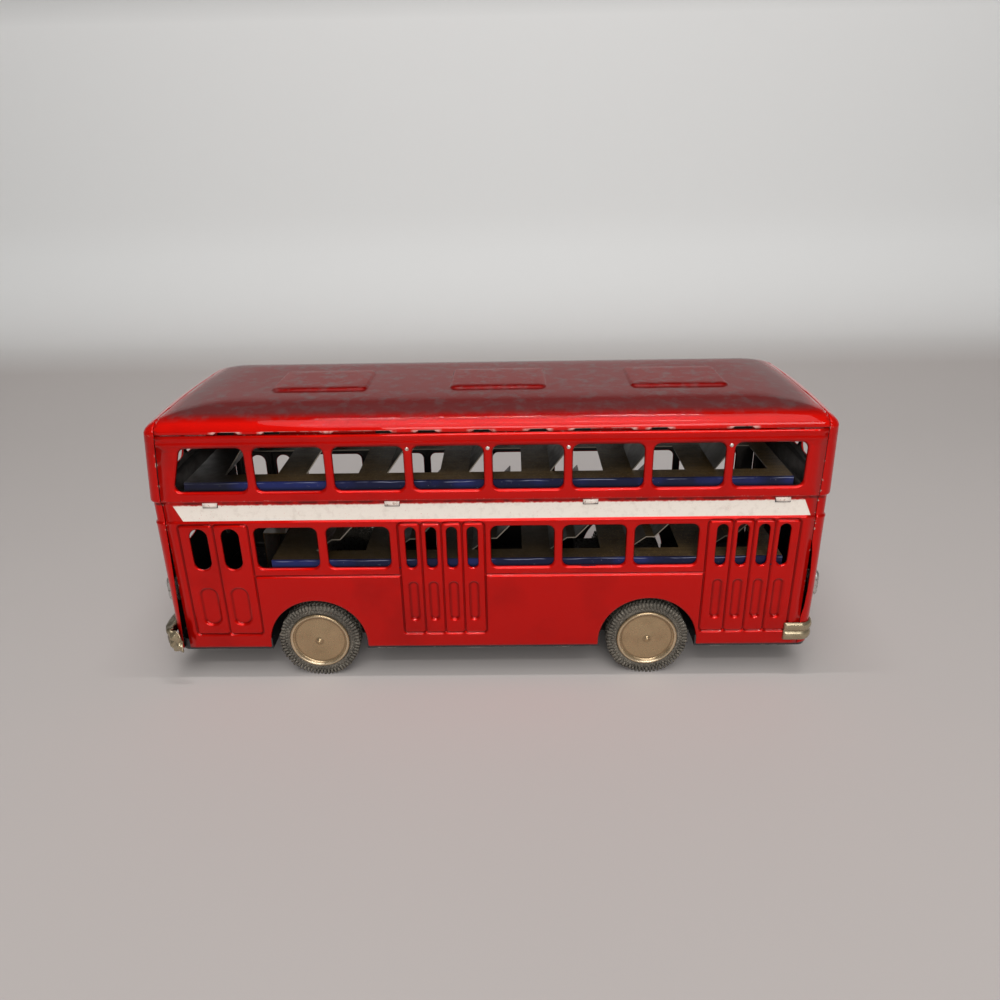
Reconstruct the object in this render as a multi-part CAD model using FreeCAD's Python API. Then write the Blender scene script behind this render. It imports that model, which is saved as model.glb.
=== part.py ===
import FreeCAD, Part
import math
import os

# Pressed tinplate toy double decker bus, in millimetres.
# X runs from the front (-) to the rear (+), Y to the bus's right, Z up.
# The origin is on the floor, below the middle of the body.

V = FreeCAD.Vector

# ---- Sheet and clearances ------------------------------------------------------------------
SHEET = 0.5                 # tinplate of body, decks and base
SEAM = 0.3                  # open line between two body pressings
RUNNING_FIT = 0.08          # radial clearance of an axle in its bearings
TAB_CLEARANCE = 0.1         # round a deck tab in its slot
WELL_CLEARANCE = 3.5        # round a tyre in the base plate's cut-out

# ---- Body ----------------------------------------------------------------------------------
SIDE_LENGTH = 301.0         # a side panel, from seam to seam
BODY_WIDTH = 102.0          # over the upper deck
SILL_Z = 17.0               # lower edge of the body
BAND_Z = 86.0               # lower edge of the recessed band between the decks
WAIST_Z = 96.6              # step under the upper deck
EAVES_Z = 129.0             # seam between the sides and the roof
LOWER_INSET = 0.6           # the lower deck stands in from the upper deck by this
BAND_INSET = 1.2            # and the band by this
FRONT_RAKE = 3.0            # the upper front leans back by this
REAR_RAKE = 0.8
CORNER_FLAT = 1.0           # an end panel's straight lap past the seam
CORNER_RADIUS = 5.5
END_BULGE = 2.0             # rise of a curved end over its corners
CORNER_CHORDS = 3           # straight steps in the corner of a punched opening

# Roof sections: rise over the eaves, set-in of the sides, set-in of the ends, corner radius in plan.
ROOF_SECTIONS = (
    (0.0, 0.0, 0.0, CORNER_RADIUS),
    (2.4, 0.5, 1.3, 5.5),
    (5.6, 2.4, 5.0, 6.5),
    (8.4, 8.0, 13.5, 8.0),
    (10.0, 25.0, 34.0, 8.0),
)
HATCH_X = (-80.5, 5.0, 91.0)
HATCH_LENGTH = 46.5
HATCH_WIDTH = 35.0
HATCH_RADIUS = 3.5
HATCH_RISE = 1.1

# ---- Windows and doors ---------------------------------------------------------------------
UPPER_WINDOW_Z = (101.6, 122.4)
LOWER_WINDOW_Z = (61.4, 82.4)
DOOR_GLASS_Z = (61.0, 82.2)
WINDOW_RADIUS = 3.2
FIRST_WINDOW_LEAN = 5.8     # the first upper window's front edge leans with the front by this

# Window rows on each side: bottom and top, front edge of the first, how many, pitch, width.
WINDOW_ROWS = {
    "left": (
        (UPPER_WINDOW_Z, -141.3, 8, 36.0, 31.85),
        (LOWER_WINDOW_Z, -110.3, 2, 34.1, 29.5),
        (LOWER_WINDOW_Z, 1.1, 3, 33.65, 29.5),
    ),
    "right": (
        (UPPER_WINDOW_Z, -141.3, 8, 36.0, 31.85),
        (LOWER_WINDOW_Z, -108.0, 7, 36.0, 31.85),
    ),
}

# Doors on each side: centre, width, leaves, leaf pitch, glass width, dish width, dish bottom, dish top.
FRONT_DOOR = (-129.2, 32.8, 2, 14.9, 8.2, 9.4, 30.0, 51.0)
MIDDLE_DOOR = (-22.2, 40.6, 4, 9.7, 4.9, 5.2, 32.0, 53.5)
REAR_DOOR = (123.4, 42.6, 4, 9.65, 4.9, 5.2, 32.0, 53.5)
DOORS = {"left": (FRONT_DOOR, MIDDLE_DOOR, REAR_DOOR), "right": (FRONT_DOOR,)}
DOOR_FOOT_Z = 24.7
DOOR_HEAD_Z = 84.0
BELT_Z = 57.0               # belt line, at mid height of the lower deck
GROOVE_WIDTH = 1.0
PRESS_DEPTH = 0.25          # depth of a pressed groove or dish

# End windows, two side by side: width, post between them, lower pair of the front and of the rear.
END_GLASS_WIDTH = 30.0
END_GLASS_POST = 4.2
FRONT_LOWER_GLASS_Z = (60.0, 82.0)
REAR_LOWER_GLASS_Z = (62.0, 82.0)

# Sprung laps on the left side: how far the lap's edge stands off the seam (off, z), from top to foot.
FRONT_LAP_GAP = ((0.0, 50.0), (2.2, 16.0), (0.0, 16.0))
REAR_LAP_GAP = ((0.0, 73.0), (1.5, 48.0), (1.1, 39.0), (0.0, 34.0))

# ---- Decks and seats -----------------------------------------------------------------------
DECK_FLANGE = 4.2
DECK_STAND_OFF = 1.1        # a deck's flange behind the inner face of the side
SEAT_PITCH = 38.0
SEAT_WIDTH = 32.0
AISLE = 14.0
TAB_WIDTH = 6.9
TAB_X = (-128.3, -44.0, 47.1, 134.7)
TAB_Z = 95.0                # where the upper deck's tabs pass out through the band
TAB_LIP = 1.6               # folded down outside

# Decks: floor height, front end, rear end, first seat, seats in a row, and the seat's bends:
# length of each straight stretch and its lean from upright, towards the rear.
DECKS = {
    "upper_deck": (105.5, -139.0, 138.5, -123.4, 7, ((24.5, 36.0),)),
    "lower_deck": (65.0, -104.0, 138.5, -85.4, 6, ((11.0, 53.0), (4.0, 90.0), (9.5, 43.0))),
}

# ---- Wheels and axles ----------------------------------------------------------------------
WHEELBASE = 162.5
FRONT_AXLE_X = -85.5
TYRE_RADIUS = 20.0
TYRE_WIDTH = 9.5
TYRE_SET_IN = 1.0           # tyre face behind the side panel
DISC_RADIUS = 14.4
DISC_POINT = 0.9            # the centre point stands past the tyre's face by this
DISC_BOSS = 2.6             # radius of the pointed boss
DISC_DISH = 0.8             # the disc's floor behind the tyre's face
AXLE_RADIUS = 1.6
ARCH_RADIUS = 24.0
ARCH_DROP = 1.0             # arch centre below the wheel centre

# ---- Base plate, motor, bumpers, lamps -----------------------------------------------------
PLATE_UNDER_AXLE = 4.0      # the base plate's underside below the middle of an axle
PLATE_EDGE = 6.0            # height of its upturned edge
LUG_THICKNESS = 1.0
LUG_WIDTH = 10.0
LUG_SET_IN = 3.4            # a lug's outer face inside the edge of the wheel cut-outs
LUG_RISE = 5.0              # over the axle's middle
MOTOR_LENGTH = 46.0
MOTOR_WIDTH = 34.0
MOTOR_HEIGHT = 26.0
MOTOR_AHEAD = 0.7           # share of the motor that lies ahead of the rear axle
BUMPER_Z = (19.4, 29.4)
BUMPER_WRAP = 7.5           # along the side from the seam
BUMPER_RIB = 1.6            # reach of a rib past the panel
BUMPER_VALLEY = 0.7         # reach of the edges and of the valley between the ribs
BENT_END_ANGLE = 70.0       # the front bumper's left end is bent out by this
BENT_END_LENGTH = 4.2       # what is left of that end, from its bend
LAMP_Z = (38.0, 51.5)
LAMP_Y = 38.0
LAMP_WIDTH = 7.0
LAMP_DEPTH = 2.6
LAMP_BEVEL = 0.9

# Driver's seat: corners of the bent strip as (x, z) over the base plate, its near edge and width.
DRIVER_SEAT = ((-126.0, 0.0), (-126.0, 35.5), (-114.0, 35.5), (-111.0, 59.5))
DRIVER_SEAT_Y = 8.0
DRIVER_SEAT_WIDTH = 26.0

# ---- Worked out from the above -------------------------------------------------------------
AXLE_Z = TYRE_RADIUS
PLATE_Z = AXLE_Z - PLATE_UNDER_AXLE
REAR_AXLE_X = FRONT_AXLE_X + WHEELBASE
HALF_WIDTH = BODY_WIDTH / 2
HALF_SIDE = SIDE_LENGTH / 2
LOWER_FACE = HALF_WIDTH - LOWER_INSET
BAND_FACE = HALF_WIDTH - BAND_INSET
WHEEL_Y = LOWER_FACE - TYRE_SET_IN - TYRE_WIDTH / 2
WELL_Y = WHEEL_Y - TYRE_WIDTH / 2 - WELL_CLEARANCE
LUG_Y = WELL_Y - LUG_SET_IN
AXLES = {"front": FRONT_AXLE_X, "rear": REAR_AXLE_X}
SIDES = {"left": -1, "right": 1}
ENDS = {"front": -1, "rear": 1}
BEYOND = 40.0               # reach of a cutting block past what it cuts


# ---- Shapes used throughout ----------------------------------------------------------------
def box(x0, x1, y0, y1, z0, z1):
    return Part.makeBox(x1 - x0, y1 - y0, z1 - z0, V(x0, y0, z0))


def arc(a, b, c):
    return Part.Arc(a, b, c).toShape()


def unit(vector):
    return vector / vector.Length


def rounded_polygon(corners, radius, chords):
    """Closed outline whose corners are rounded, each in equal chords."""
    points = []
    for i, corner in enumerate(corners):
        back = unit(corners[i - 1] - corner)
        ahead = unit(corners[(i + 1) % len(corners)] - corner)
        half = back.getAngle(ahead) / 2
        centre = corner + unit(back + ahead) * (radius / math.sin(half))
        first = corner + back * (radius / math.tan(half)) - centre
        last = corner + ahead * (radius / math.tan(half)) - centre
        turn = math.degrees(first.getAngle(last)) / chords
        for step in range(chords + 1):
            points.append(centre + FreeCAD.Rotation(first.cross(last), step * turn).multVec(first))
    return Part.makePolygon(points + [points[0]])


def rounded_rectangle(x0, x1, z0, z1, radius, lean=0.0):
    """Outline in the XZ plane; lean moves its upper left corner to the right."""
    radius = min(radius, (x1 - x0) * 0.49, (z1 - z0) * 0.49)
    corners = [V(x0, 0, z0), V(x1, 0, z0), V(x1, 0, z1), V(x0 + lean, 0, z1)]
    return rounded_polygon(corners, radius, CORNER_CHORDS)


def prism_y(wire, y0, y1):
    """Solid on a wire of the XZ plane, from y0 to y1."""
    face = Part.Face(wire)
    face.translate(V(0, y0, 0))
    return face.extrude(V(0, y1 - y0, 0))


def cylinder_y(x, z, radius, half_length):
    return Part.makeCylinder(radius, 2 * half_length, V(x, -half_length, z), V(0, 1, 0))


def mirrored(shape):
    """The same piece on the other side of the bus."""
    return shape.mirror(V(0, 0, 0), V(0, 1, 0))


# ---- Body outline --------------------------------------------------------------------------
def outline(z, side_inset, end_inset, radius, front_shift=0.0, rear_shift=0.0):
    """Closed plan outline: straight sides, rounded corners and gently curved ends."""
    y = HALF_WIDTH - side_inset
    reach = HALF_SIDE + CORNER_FLAT + CORNER_RADIUS - end_inset
    corner = radius * (1 - math.sqrt(0.5))
    points = {}
    for end, out in ENDS.items():
        x = out * (reach - (front_shift if end == "front" else rear_shift))
        points[end] = (
            V(x - out * radius, -y, z),
            V(x - out * corner, -y + corner, z),
            V(x, -y + radius, z),
            V(x + out * END_BULGE, 0, z),
            V(x, y - radius, z),
            V(x - out * corner, y - corner, z),
            V(x - out * radius, y, z),
        )
    f = points["front"]
    r = points["rear"]
    return Part.Wire([
        Part.makeLine(f[0], r[0]),
        arc(r[0], r[1], r[2]),
        arc(r[2], r[3], r[4]),
        arc(r[4], r[5], r[6]),
        Part.makeLine(r[6], f[6]),
        arc(f[6], f[5], f[4]),
        arc(f[4], f[3], f[2]),
        arc(f[2], f[1], f[0]),
    ])


def stacked(sections):
    """Solid through plan outlines given as argument lists of outline, with straight walls."""
    return Part.makeLoft([outline(*section) for section in sections], True, True)


def envelope(inset):
    """The space inside the body's skin, taken in by inset all round and at the top."""
    radius = CORNER_RADIUS - inset
    low = LOWER_INSET + inset
    band = BAND_INSET + inset
    rake = (FRONT_RAKE, REAR_RAKE)
    lower = stacked([(SILL_Z - 2 * inset, low, low, radius), (BAND_Z - inset, low, low, radius)])
    middle = stacked([(BAND_Z - inset, band, band, radius), (WAIST_Z + inset, band, band, radius)])
    upper = stacked([(WAIST_Z + inset, inset, inset, radius), (EAVES_Z, inset, inset, radius, *rake)])
    top = ROOF_SECTIONS[-1][0]
    roof = stacked([(EAVES_Z + rise - inset * rise / top, side + inset, end + inset, corner - inset, *rake)
                    for rise, side, end, corner in ROOF_SECTIONS])
    return lower.fuse([middle, upper, roof])


def side_region(gap):
    """All that lies between the two end seams, less gap; the front seam leans with the upper deck."""
    x0 = -HALF_SIDE + gap
    x1 = HALF_SIDE - gap
    top = EAVES_Z + BEYOND
    points = [V(x0, -BODY_WIDTH, 0), V(x1, -BODY_WIDTH, 0), V(x1, -BODY_WIDTH, top),
              V(x0 + FRONT_RAKE, -BODY_WIDTH, top), V(x0 + FRONT_RAKE, -BODY_WIDTH, EAVES_Z),
              V(x0, -BODY_WIDTH, WAIST_Z), V(x0, -BODY_WIDTH, 0)]
    return Part.Face(Part.makePolygon(points)).extrude(V(0, 2 * BODY_WIDTH, 0))


# ---- Side panels ---------------------------------------------------------------------------
def leaf_centres(door):
    """Middle of each leaf of a door, from front to rear."""
    centre, _, leaves, pitch = door[:4]
    return [centre + (i - (leaves - 1) / 2) * pitch for i in range(leaves)]


def window_outlines(side):
    """Wires of every opening of a side panel."""
    wires = []
    for (z0, z1), start, count, pitch, width in WINDOW_ROWS[side]:
        for i in range(count):
            x = start + i * pitch
            lean = FIRST_WINDOW_LEAN if i == 0 and z0 > WAIST_Z else 0.0
            wires.append(rounded_rectangle(x - 0.4 * lean, x + width, z0, z1, WINDOW_RADIUS, lean))
    for door in DOORS[side]:
        glass = door[4]
        for x in leaf_centres(door):
            wires.append(rounded_rectangle(x - glass / 2, x + glass / 2, *DOOR_GLASS_Z, glass / 2))
    return wires


def pressed_lines(side):
    """Blocks for the grooves round the door leaves, the sunk dish of each leaf and the belt line."""
    y0 = -LOWER_FACE - 1
    y1 = -LOWER_FACE + PRESS_DEPTH
    half = GROOVE_WIDTH / 2
    cuts = []
    belt_x = []
    for door in DOORS[side]:
        centre, width, _, pitch, _, dish, z0, z1 = door
        x0 = centre - width / 2
        x1 = centre + width / 2
        belt_x += [x0, x1]
        leaves = leaf_centres(door)
        for x in [x0, x1] + [x + pitch / 2 for x in leaves[:-1]]:
            cuts.append(box(x - half, x + half, y0, y1, DOOR_FOOT_Z, DOOR_HEAD_Z))
        cuts.append(box(x0 - half, x1 + half, y0, y1, DOOR_FOOT_Z - half, DOOR_FOOT_Z + half))
        for x in leaves:
            cuts.append(prism_y(rounded_rectangle(x - dish / 2, x + dish / 2, z0, z1, dish / 2), y0, y1))
    ends = belt_x[1:] + [HALF_SIDE - GROOVE_WIDTH]
    for x0, x1 in zip(ends[::2], ends[1::2]):
        if x1 - x0 > GROOVE_WIDTH:
            cuts.append(box(x0, x1, y0, y1, BELT_Z - half, BELT_Z + half))
    return cuts


def tab_slots():
    """Slots in the band for the upper deck's tabs."""
    half = TAB_WIDTH / 2 + TAB_CLEARANCE
    return [box(x - half, x + half, -HALF_WIDTH - 1, -BAND_FACE + 2 * SHEET,
                TAB_Z - TAB_CLEARANCE, TAB_Z + SHEET + TAB_CLEARANCE) for x in TAB_X]


def side_panel(shell, side):
    """A side pressing: sheet, door leaves, belt line, windows, tab slots and wheel arches."""
    reach = HALF_SIDE + BEYOND
    region = side_region(SEAM / 2).common(
        box(-reach, reach, -HALF_WIDTH - 1, -HALF_WIDTH + 2 * CORNER_RADIUS, 0, EAVES_Z - SEAM / 2))
    windows = [prism_y(wire, -HALF_WIDTH - 2, -HALF_WIDTH + 3) for wire in window_outlines(side)]
    arches = [cylinder_y(x, AXLE_Z - ARCH_DROP, ARCH_RADIUS, HALF_WIDTH + 1) for x in AXLES.values()]
    panel = shell.common(region).cut(pressed_lines(side) + tab_slots() + windows + arches)
    return mirrored(panel) if side == "right" else panel


# ---- End panels ----------------------------------------------------------------------------
def facing(shape, end):
    """Turn a piece made with its outside towards -Y to face the front or the rear."""
    shape.rotate(V(0, 0, 0), V(0, 0, 1), -90 if end == "front" else 90)
    return shape


def end_openings(end, z0, z1):
    """The blocks of two windows side by side."""
    cuts = []
    for hand in SIDES.values():
        y = hand * (END_GLASS_WIDTH + END_GLASS_POST) / 2
        wire = rounded_rectangle(y - END_GLASS_WIDTH / 2, y + END_GLASS_WIDTH / 2, z0, z1, WINDOW_RADIUS)
        cuts.append(facing(prism_y(wire, -HALF_SIDE - BEYOND, -HALF_SIDE + 2), end))
    return cuts


def lap_gap(end):
    """The sliver that is open where the left lap has sprung away from the side."""
    out = ENDS[end]
    table = FRONT_LAP_GAP if end == "front" else REAR_LAP_GAP
    seam = HALF_SIDE + SEAM / 2
    points = [V(out * (seam - 1), 0, table[0][1])]
    points += [V(out * (seam + off), 0, z) for off, z in table]
    points.append(V(out * (seam - 1), 0, table[-1][1]))
    return prism_y(Part.makePolygon(points + [points[0]]), -HALF_WIDTH - 1, -HALF_WIDTH + 2)


def end_panel(shell, end):
    """The front or rear pressing, with its laps, windows and its share of the roof."""
    reach = HALF_SIDE + BEYOND
    span = (0, reach) if end == "rear" else (-reach, 0)
    half = box(*span, -BODY_WIDTH, BODY_WIDTH, 0, EAVES_Z + BEYOND)
    low = REAR_LOWER_GLASS_Z if end == "rear" else FRONT_LOWER_GLASS_Z
    cuts = [side_region(-SEAM / 2), lap_gap(end)] + end_openings(end, *UPPER_WINDOW_Z) + end_openings(end, *low)
    return shell.common(half).cut(cuts)


# ---- Roof ----------------------------------------------------------------------------------
def hatch_block(x, grow):
    half = HATCH_LENGTH / 2 - grow
    width = HATCH_WIDTH / 2 - grow
    block = prism_y(rounded_rectangle(x - half, x + half, -width, width, HATCH_RADIUS), 0, BEYOND)
    block.rotate(V(0, 0, 0), V(1, 0, 0), 90)
    block.translate(V(0, 0, EAVES_Z))
    return block


def roof_panel(outer, inner):
    """The roof pressing, with its three raised hatch panels."""
    reach = HALF_SIDE + BEYOND
    region = side_region(SEAM / 2).common(
        box(-reach, reach, -BODY_WIDTH, BODY_WIDTH, EAVES_Z + SEAM / 2, EAVES_Z + BEYOND))
    lift = V(0, 0, HATCH_RISE)
    raised = [outer.translated(lift).common(hatch_block(x, 0)) for x in HATCH_X]
    hollow = [inner.translated(lift).common(hatch_block(x, SHEET)) for x in HATCH_X]
    return outer.fuse(raised).cut([inner] + hollow).common(region)


# ---- Base plate with its bearing lugs ------------------------------------------------------
def chassis_plate():
    """Flat base with an upturned edge against the panels, wheel cut-outs and front axle lugs."""
    inset = LOWER_INSET + SHEET
    radius = CORNER_RADIUS - SHEET
    tray = Part.Face(outline(PLATE_Z, inset, inset, radius)).extrude(V(0, 0, PLATE_EDGE))
    hollow = Part.Face(outline(PLATE_Z + SHEET, inset + SHEET, inset + SHEET, radius - SHEET))
    cuts = [hollow.extrude(V(0, 0, PLATE_EDGE))]
    half = TYRE_RADIUS + WELL_CLEARANCE
    for x in AXLES.values():
        for hand in SIDES.values():
            y0, y1 = sorted((hand * WELL_Y, hand * (HALF_WIDTH + 2)))
            cuts.append(box(x - half, x + half, y0, y1, PLATE_Z - 1, PLATE_Z + PLATE_EDGE + 1))
    lugs = []
    for y in (-LUG_Y, LUG_Y - LUG_THICKNESS):
        lugs.append(box(FRONT_AXLE_X - LUG_WIDTH / 2, FRONT_AXLE_X + LUG_WIDTH / 2, y, y + LUG_THICKNESS,
                        PLATE_Z, AXLE_Z + LUG_RISE))
    bore = cylinder_y(FRONT_AXLE_X, AXLE_Z, AXLE_RADIUS + RUNNING_FIT, HALF_WIDTH)
    return tray.cut(cuts).fuse(lugs).cut(bore).removeSplitter()


def friction_motor():
    """Closed flywheel motor on the base plate, driving the rear axle."""
    z0 = PLATE_Z + SHEET
    ahead = MOTOR_LENGTH * MOTOR_AHEAD
    block = box(REAR_AXLE_X - ahead, REAR_AXLE_X - ahead + MOTOR_LENGTH, -MOTOR_WIDTH / 2, MOTOR_WIDTH / 2,
                z0, z0 + MOTOR_HEIGHT)
    return block.cut(cylinder_y(REAR_AXLE_X, AXLE_Z, AXLE_RADIUS + RUNNING_FIT, MOTOR_WIDTH))


# ---- Decks with their lanced seats ---------------------------------------------------------
def bent_strip(points, y, width):
    """Sheet of the plate's thickness, bent along a line of the XZ plane with sharp folds."""
    line = [V(x, y, z) for x, z in points]
    runs = [unit(b - a) for a, b in zip(line, line[1:])]
    back = []
    for corner, before, after in zip(line, [runs[0]] + runs, runs + [runs[-1]]):
        middle = unit(before + after)
        across = V(middle.z, 0, -middle.x)
        back.append(corner + across * (SHEET / math.cos(before.getAngle(after) / 2)))
    return Part.Face(Part.makePolygon(line + back[::-1] + [line[0]])).extrude(V(0, width, 0))


def seat_line(x, z, bends):
    """Corners of a seat that rises from the front edge of its slot."""
    points = [(x, z)]
    for length, lean in bends:
        x += length * math.sin(math.radians(lean))
        z += length * math.cos(math.radians(lean))
        points.append((x, z))
    return points


def tab(x, y, z):
    """Deck tab on the left: down from the flange, out through the band and folded down on it."""
    x0 = x - TAB_WIDTH / 2
    x1 = x + TAB_WIDTH / 2
    leg = box(x0, x1, -y, -y + SHEET, TAB_Z, z)
    foot = box(x0, x1, -BAND_FACE - SHEET, -y + SHEET, TAB_Z, TAB_Z + SHEET)
    lip = box(x0, x1, -BAND_FACE - SHEET, -BAND_FACE, TAB_Z - TAB_LIP, TAB_Z + SHEET)
    return leg.fuse([foot, lip])


def foot(x, y, z):
    """Deck tab on the left that only bears on the inside of the side panel."""
    x0 = x - TAB_WIDTH / 2
    return box(x0, x0 + TAB_WIDTH, -LOWER_FACE + SHEET, -y + SHEET, z - SHEET, z)


def deck(z, x0, x1, first, count, bends):
    """Floor sheet with turned-down sides and tabs; each seat leaves the slot it was bent from."""
    upper = z > WAIST_Z
    y = (BAND_FACE - TAB_CLEARANCE if upper else LOWER_FACE - DECK_STAND_OFF) - SHEET
    under = z - DECK_FLANGE
    flange = box(x0, x1, -y, -y + SHEET, under, z)
    if upper:
        left = flange.fuse([tab(x, y, under) for x in TAB_X])
    else:
        left = flange.fuse([foot(x, y, under + SHEET) for x in TAB_X if x0 < x < x1])
    slot = sum(length for length, _ in bends) + SHEET
    slots = []
    seats = []
    for i in range(count):
        x = first + i * SEAT_PITCH
        for y0 in (AISLE / 2, -AISLE / 2 - SEAT_WIDTH):
            slots.append(box(x + SHEET, x + slot, y0, y0 + SEAT_WIDTH, z - 1, z + 1))
            seats.append(bent_strip(seat_line(x, z - SHEET, bends), y0, SEAT_WIDTH))
    floor = box(x0, x1, -y, y, z - SHEET, z).cut(slots)
    return floor.fuse([left, mirrored(left)] + seats).removeSplitter()


def driver_seat():
    """A bent sheet seat behind the front door, facing forward."""
    floor = PLATE_Z + SHEET
    return bent_strip([(x, floor + z) for x, z in DRIVER_SEAT], DRIVER_SEAT_Y, DRIVER_SEAT_WIDTH)


# ---- Bumpers and lamps ---------------------------------------------------------------------
def bumper(end):
    """Wrap-round bumper of two pressed ribs, seated on the end panel."""
    z0, z1 = BUMPER_Z
    middle = (z0 + z1) / 2
    rib = (middle - z0) / 4
    levels = ((z0, BUMPER_VALLEY), (z0 + rib, BUMPER_RIB), (middle - rib, BUMPER_RIB), (middle, BUMPER_VALLEY),
              (middle + rib, BUMPER_RIB), (z1 - rib, BUMPER_RIB), (z1, BUMPER_VALLEY))
    ribs = stacked([(z, LOWER_INSET - reach, LOWER_INSET - reach, CORNER_RADIUS + reach)
                    for z, reach in levels])
    core = stacked([(z, LOWER_INSET, LOWER_INSET, CORNER_RADIUS) for z in (z0 - 1, z1 + 1)])
    x = HALF_SIDE - BUMPER_WRAP
    reach = HALF_SIDE + BEYOND
    span = (x, reach) if end == "rear" else (-reach, -x)
    whole = ribs.cut(core).common(box(*span, -BODY_WIDTH, BODY_WIDTH, 0, z1 + 1))
    return bent_out(whole) if end == "front" else whole


def bent_out(whole):
    """The front bumper's left end, broken short and bent outward about the corner."""
    knee = V(-HALF_SIDE - CORNER_FLAT - CORNER_RADIUS / 2, -LOWER_FACE, 0)
    top = BUMPER_Z[1] + 1
    end = whole.common(box(knee.x, knee.x + BENT_END_LENGTH, -BODY_WIDTH, 0, 0, top))
    end.rotate(knee, V(0, 0, 1), -BENT_END_ANGLE)
    return whole.cut(box(knee.x, 0, -BODY_WIDTH, 0, 0, top)).fuse(end).removeSplitter()


def lamp(end, hand, outer):
    """Upright oblong lamp with a bevelled front, its back fitted to the curved end panel."""
    z0, z1 = LAMP_Z
    y = hand * LAMP_Y
    half = LAMP_WIDTH / 2
    front = HALF_SIDE + CORNER_FLAT + CORNER_RADIUS - LOWER_INSET + LAMP_DEPTH
    base = rounded_rectangle(y - half, y + half, z0, z1, half)
    top = rounded_rectangle(y - half + LAMP_BEVEL, y + half - LAMP_BEVEL, z0 + LAMP_BEVEL, z1 - LAMP_BEVEL, half)
    base.translate(V(0, LAMP_BEVEL - front, 0))
    top.translate(V(0, -front, 0))
    body = prism_y(rounded_rectangle(y - half, y + half, z0, z1, half), LAMP_BEVEL - front, -HALF_SIDE)
    body = facing(body.fuse(Part.makeLoft([base, top], True, True)), end)
    return body.cut(outer).removeSplitter()


# ---- Wheels --------------------------------------------------------------------------------
def revolved(points, x, side):
    """Turned piece about an axle: points are (radius, distance outward from the wheel's middle)."""
    y = side * WHEEL_Y
    corners = [V(x + r, y + side * d, AXLE_Z) for r, d in points]
    face = Part.Face(Part.makePolygon(corners + [corners[0]]))
    return face.revolve(V(x, 0, AXLE_Z), V(0, 1, 0), 360)


def tyre(x, side):
    """Rubber tyre, a push fit between the two discs."""
    half = TYRE_WIDTH / 2
    bore = DISC_RADIUS - 1.0
    return revolved(((bore, -half), (bore, half), (TYRE_RADIUS, half), (TYRE_RADIUS, -half)), x, side)


def wheel_disc(x, side):
    """Dished tin disc with a pointed centre, its raised rim over the tyre's bead."""
    half = TYRE_WIDTH / 2
    bore = DISC_RADIUS - 1.0
    back = half - DISC_DISH - SHEET
    return revolved(((0.0, half + DISC_POINT), (DISC_BOSS, half - DISC_DISH), (DISC_RADIUS - 1.9, half - DISC_DISH),
                     (DISC_RADIUS - 1.2, half + 0.6), (DISC_RADIUS, half + 0.6), (DISC_RADIUS, half),
                     (bore, half), (bore, back), (0.0, back)), x, side)


def inner_disc(x, side):
    """Flat tin disc that closes the wheel on the inside, pressed onto the axle."""
    half = TYRE_WIDTH / 2
    return revolved(((AXLE_RADIUS, -half), (AXLE_RADIUS, -half + SHEET), (DISC_RADIUS - 1.0, -half + SHEET),
                     (DISC_RADIUS - 1.0, -half)), x, side)


def axle(x):
    return cylinder_y(x, AXLE_Z, AXLE_RADIUS, WHEEL_Y + TYRE_WIDTH / 2 - DISC_DISH - SHEET)


# ---- The toy -------------------------------------------------------------------------------
def build():
    outer = envelope(0.0)
    inner = envelope(SHEET)
    shell = outer.cut(inner)
    nodes = {
        "roof_panel": roof_panel(outer, inner),
        "chassis_plate": chassis_plate(),
        "friction_motor": friction_motor(),
        "driver_seat": driver_seat(),
    }
    for side in SIDES:
        nodes[f"{side}_side_panel"] = side_panel(shell, side)
    for name, values in DECKS.items():
        nodes[name] = deck(*values)
    for end, x in AXLES.items():
        nodes[f"{end}_panel"] = end_panel(shell, end)
        nodes[f"{end}_bumper"] = bumper(end)
        nodes[f"{end}_axle"] = axle(x)
        for side, hand in SIDES.items():
            nodes[f"{end}_{side}_tyre"] = tyre(x, hand)
            nodes[f"{end}_{side}_wheel_disc"] = wheel_disc(x, hand)
            nodes[f"{end}_{side}_inner_disc"] = inner_disc(x, hand)
            nodes[f"{end}_{side}_lamp"] = lamp(end, hand, outer)
    return nodes


def main():
    os.makedirs("parts", exist_ok=True)
    for name, shape in build().items():
        if len(shape.Solids) != 1 or not shape.isValid():
            raise ValueError(f"{name} is {len(shape.Solids)} solids, valid: {shape.isValid()}")
        shape.Solids[0].exportStep(f"parts/{name}.step")
        print(name, round(shape.Volume, 1))


main()
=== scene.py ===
import math

import bmesh
import bpy
import numpy as np
from bpy.props import FloatProperty, FloatVectorProperty, IntProperty, PointerProperty
from mathutils import Matrix, Vector
from mathutils.geometry import delaunay_2d_cdt


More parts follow.
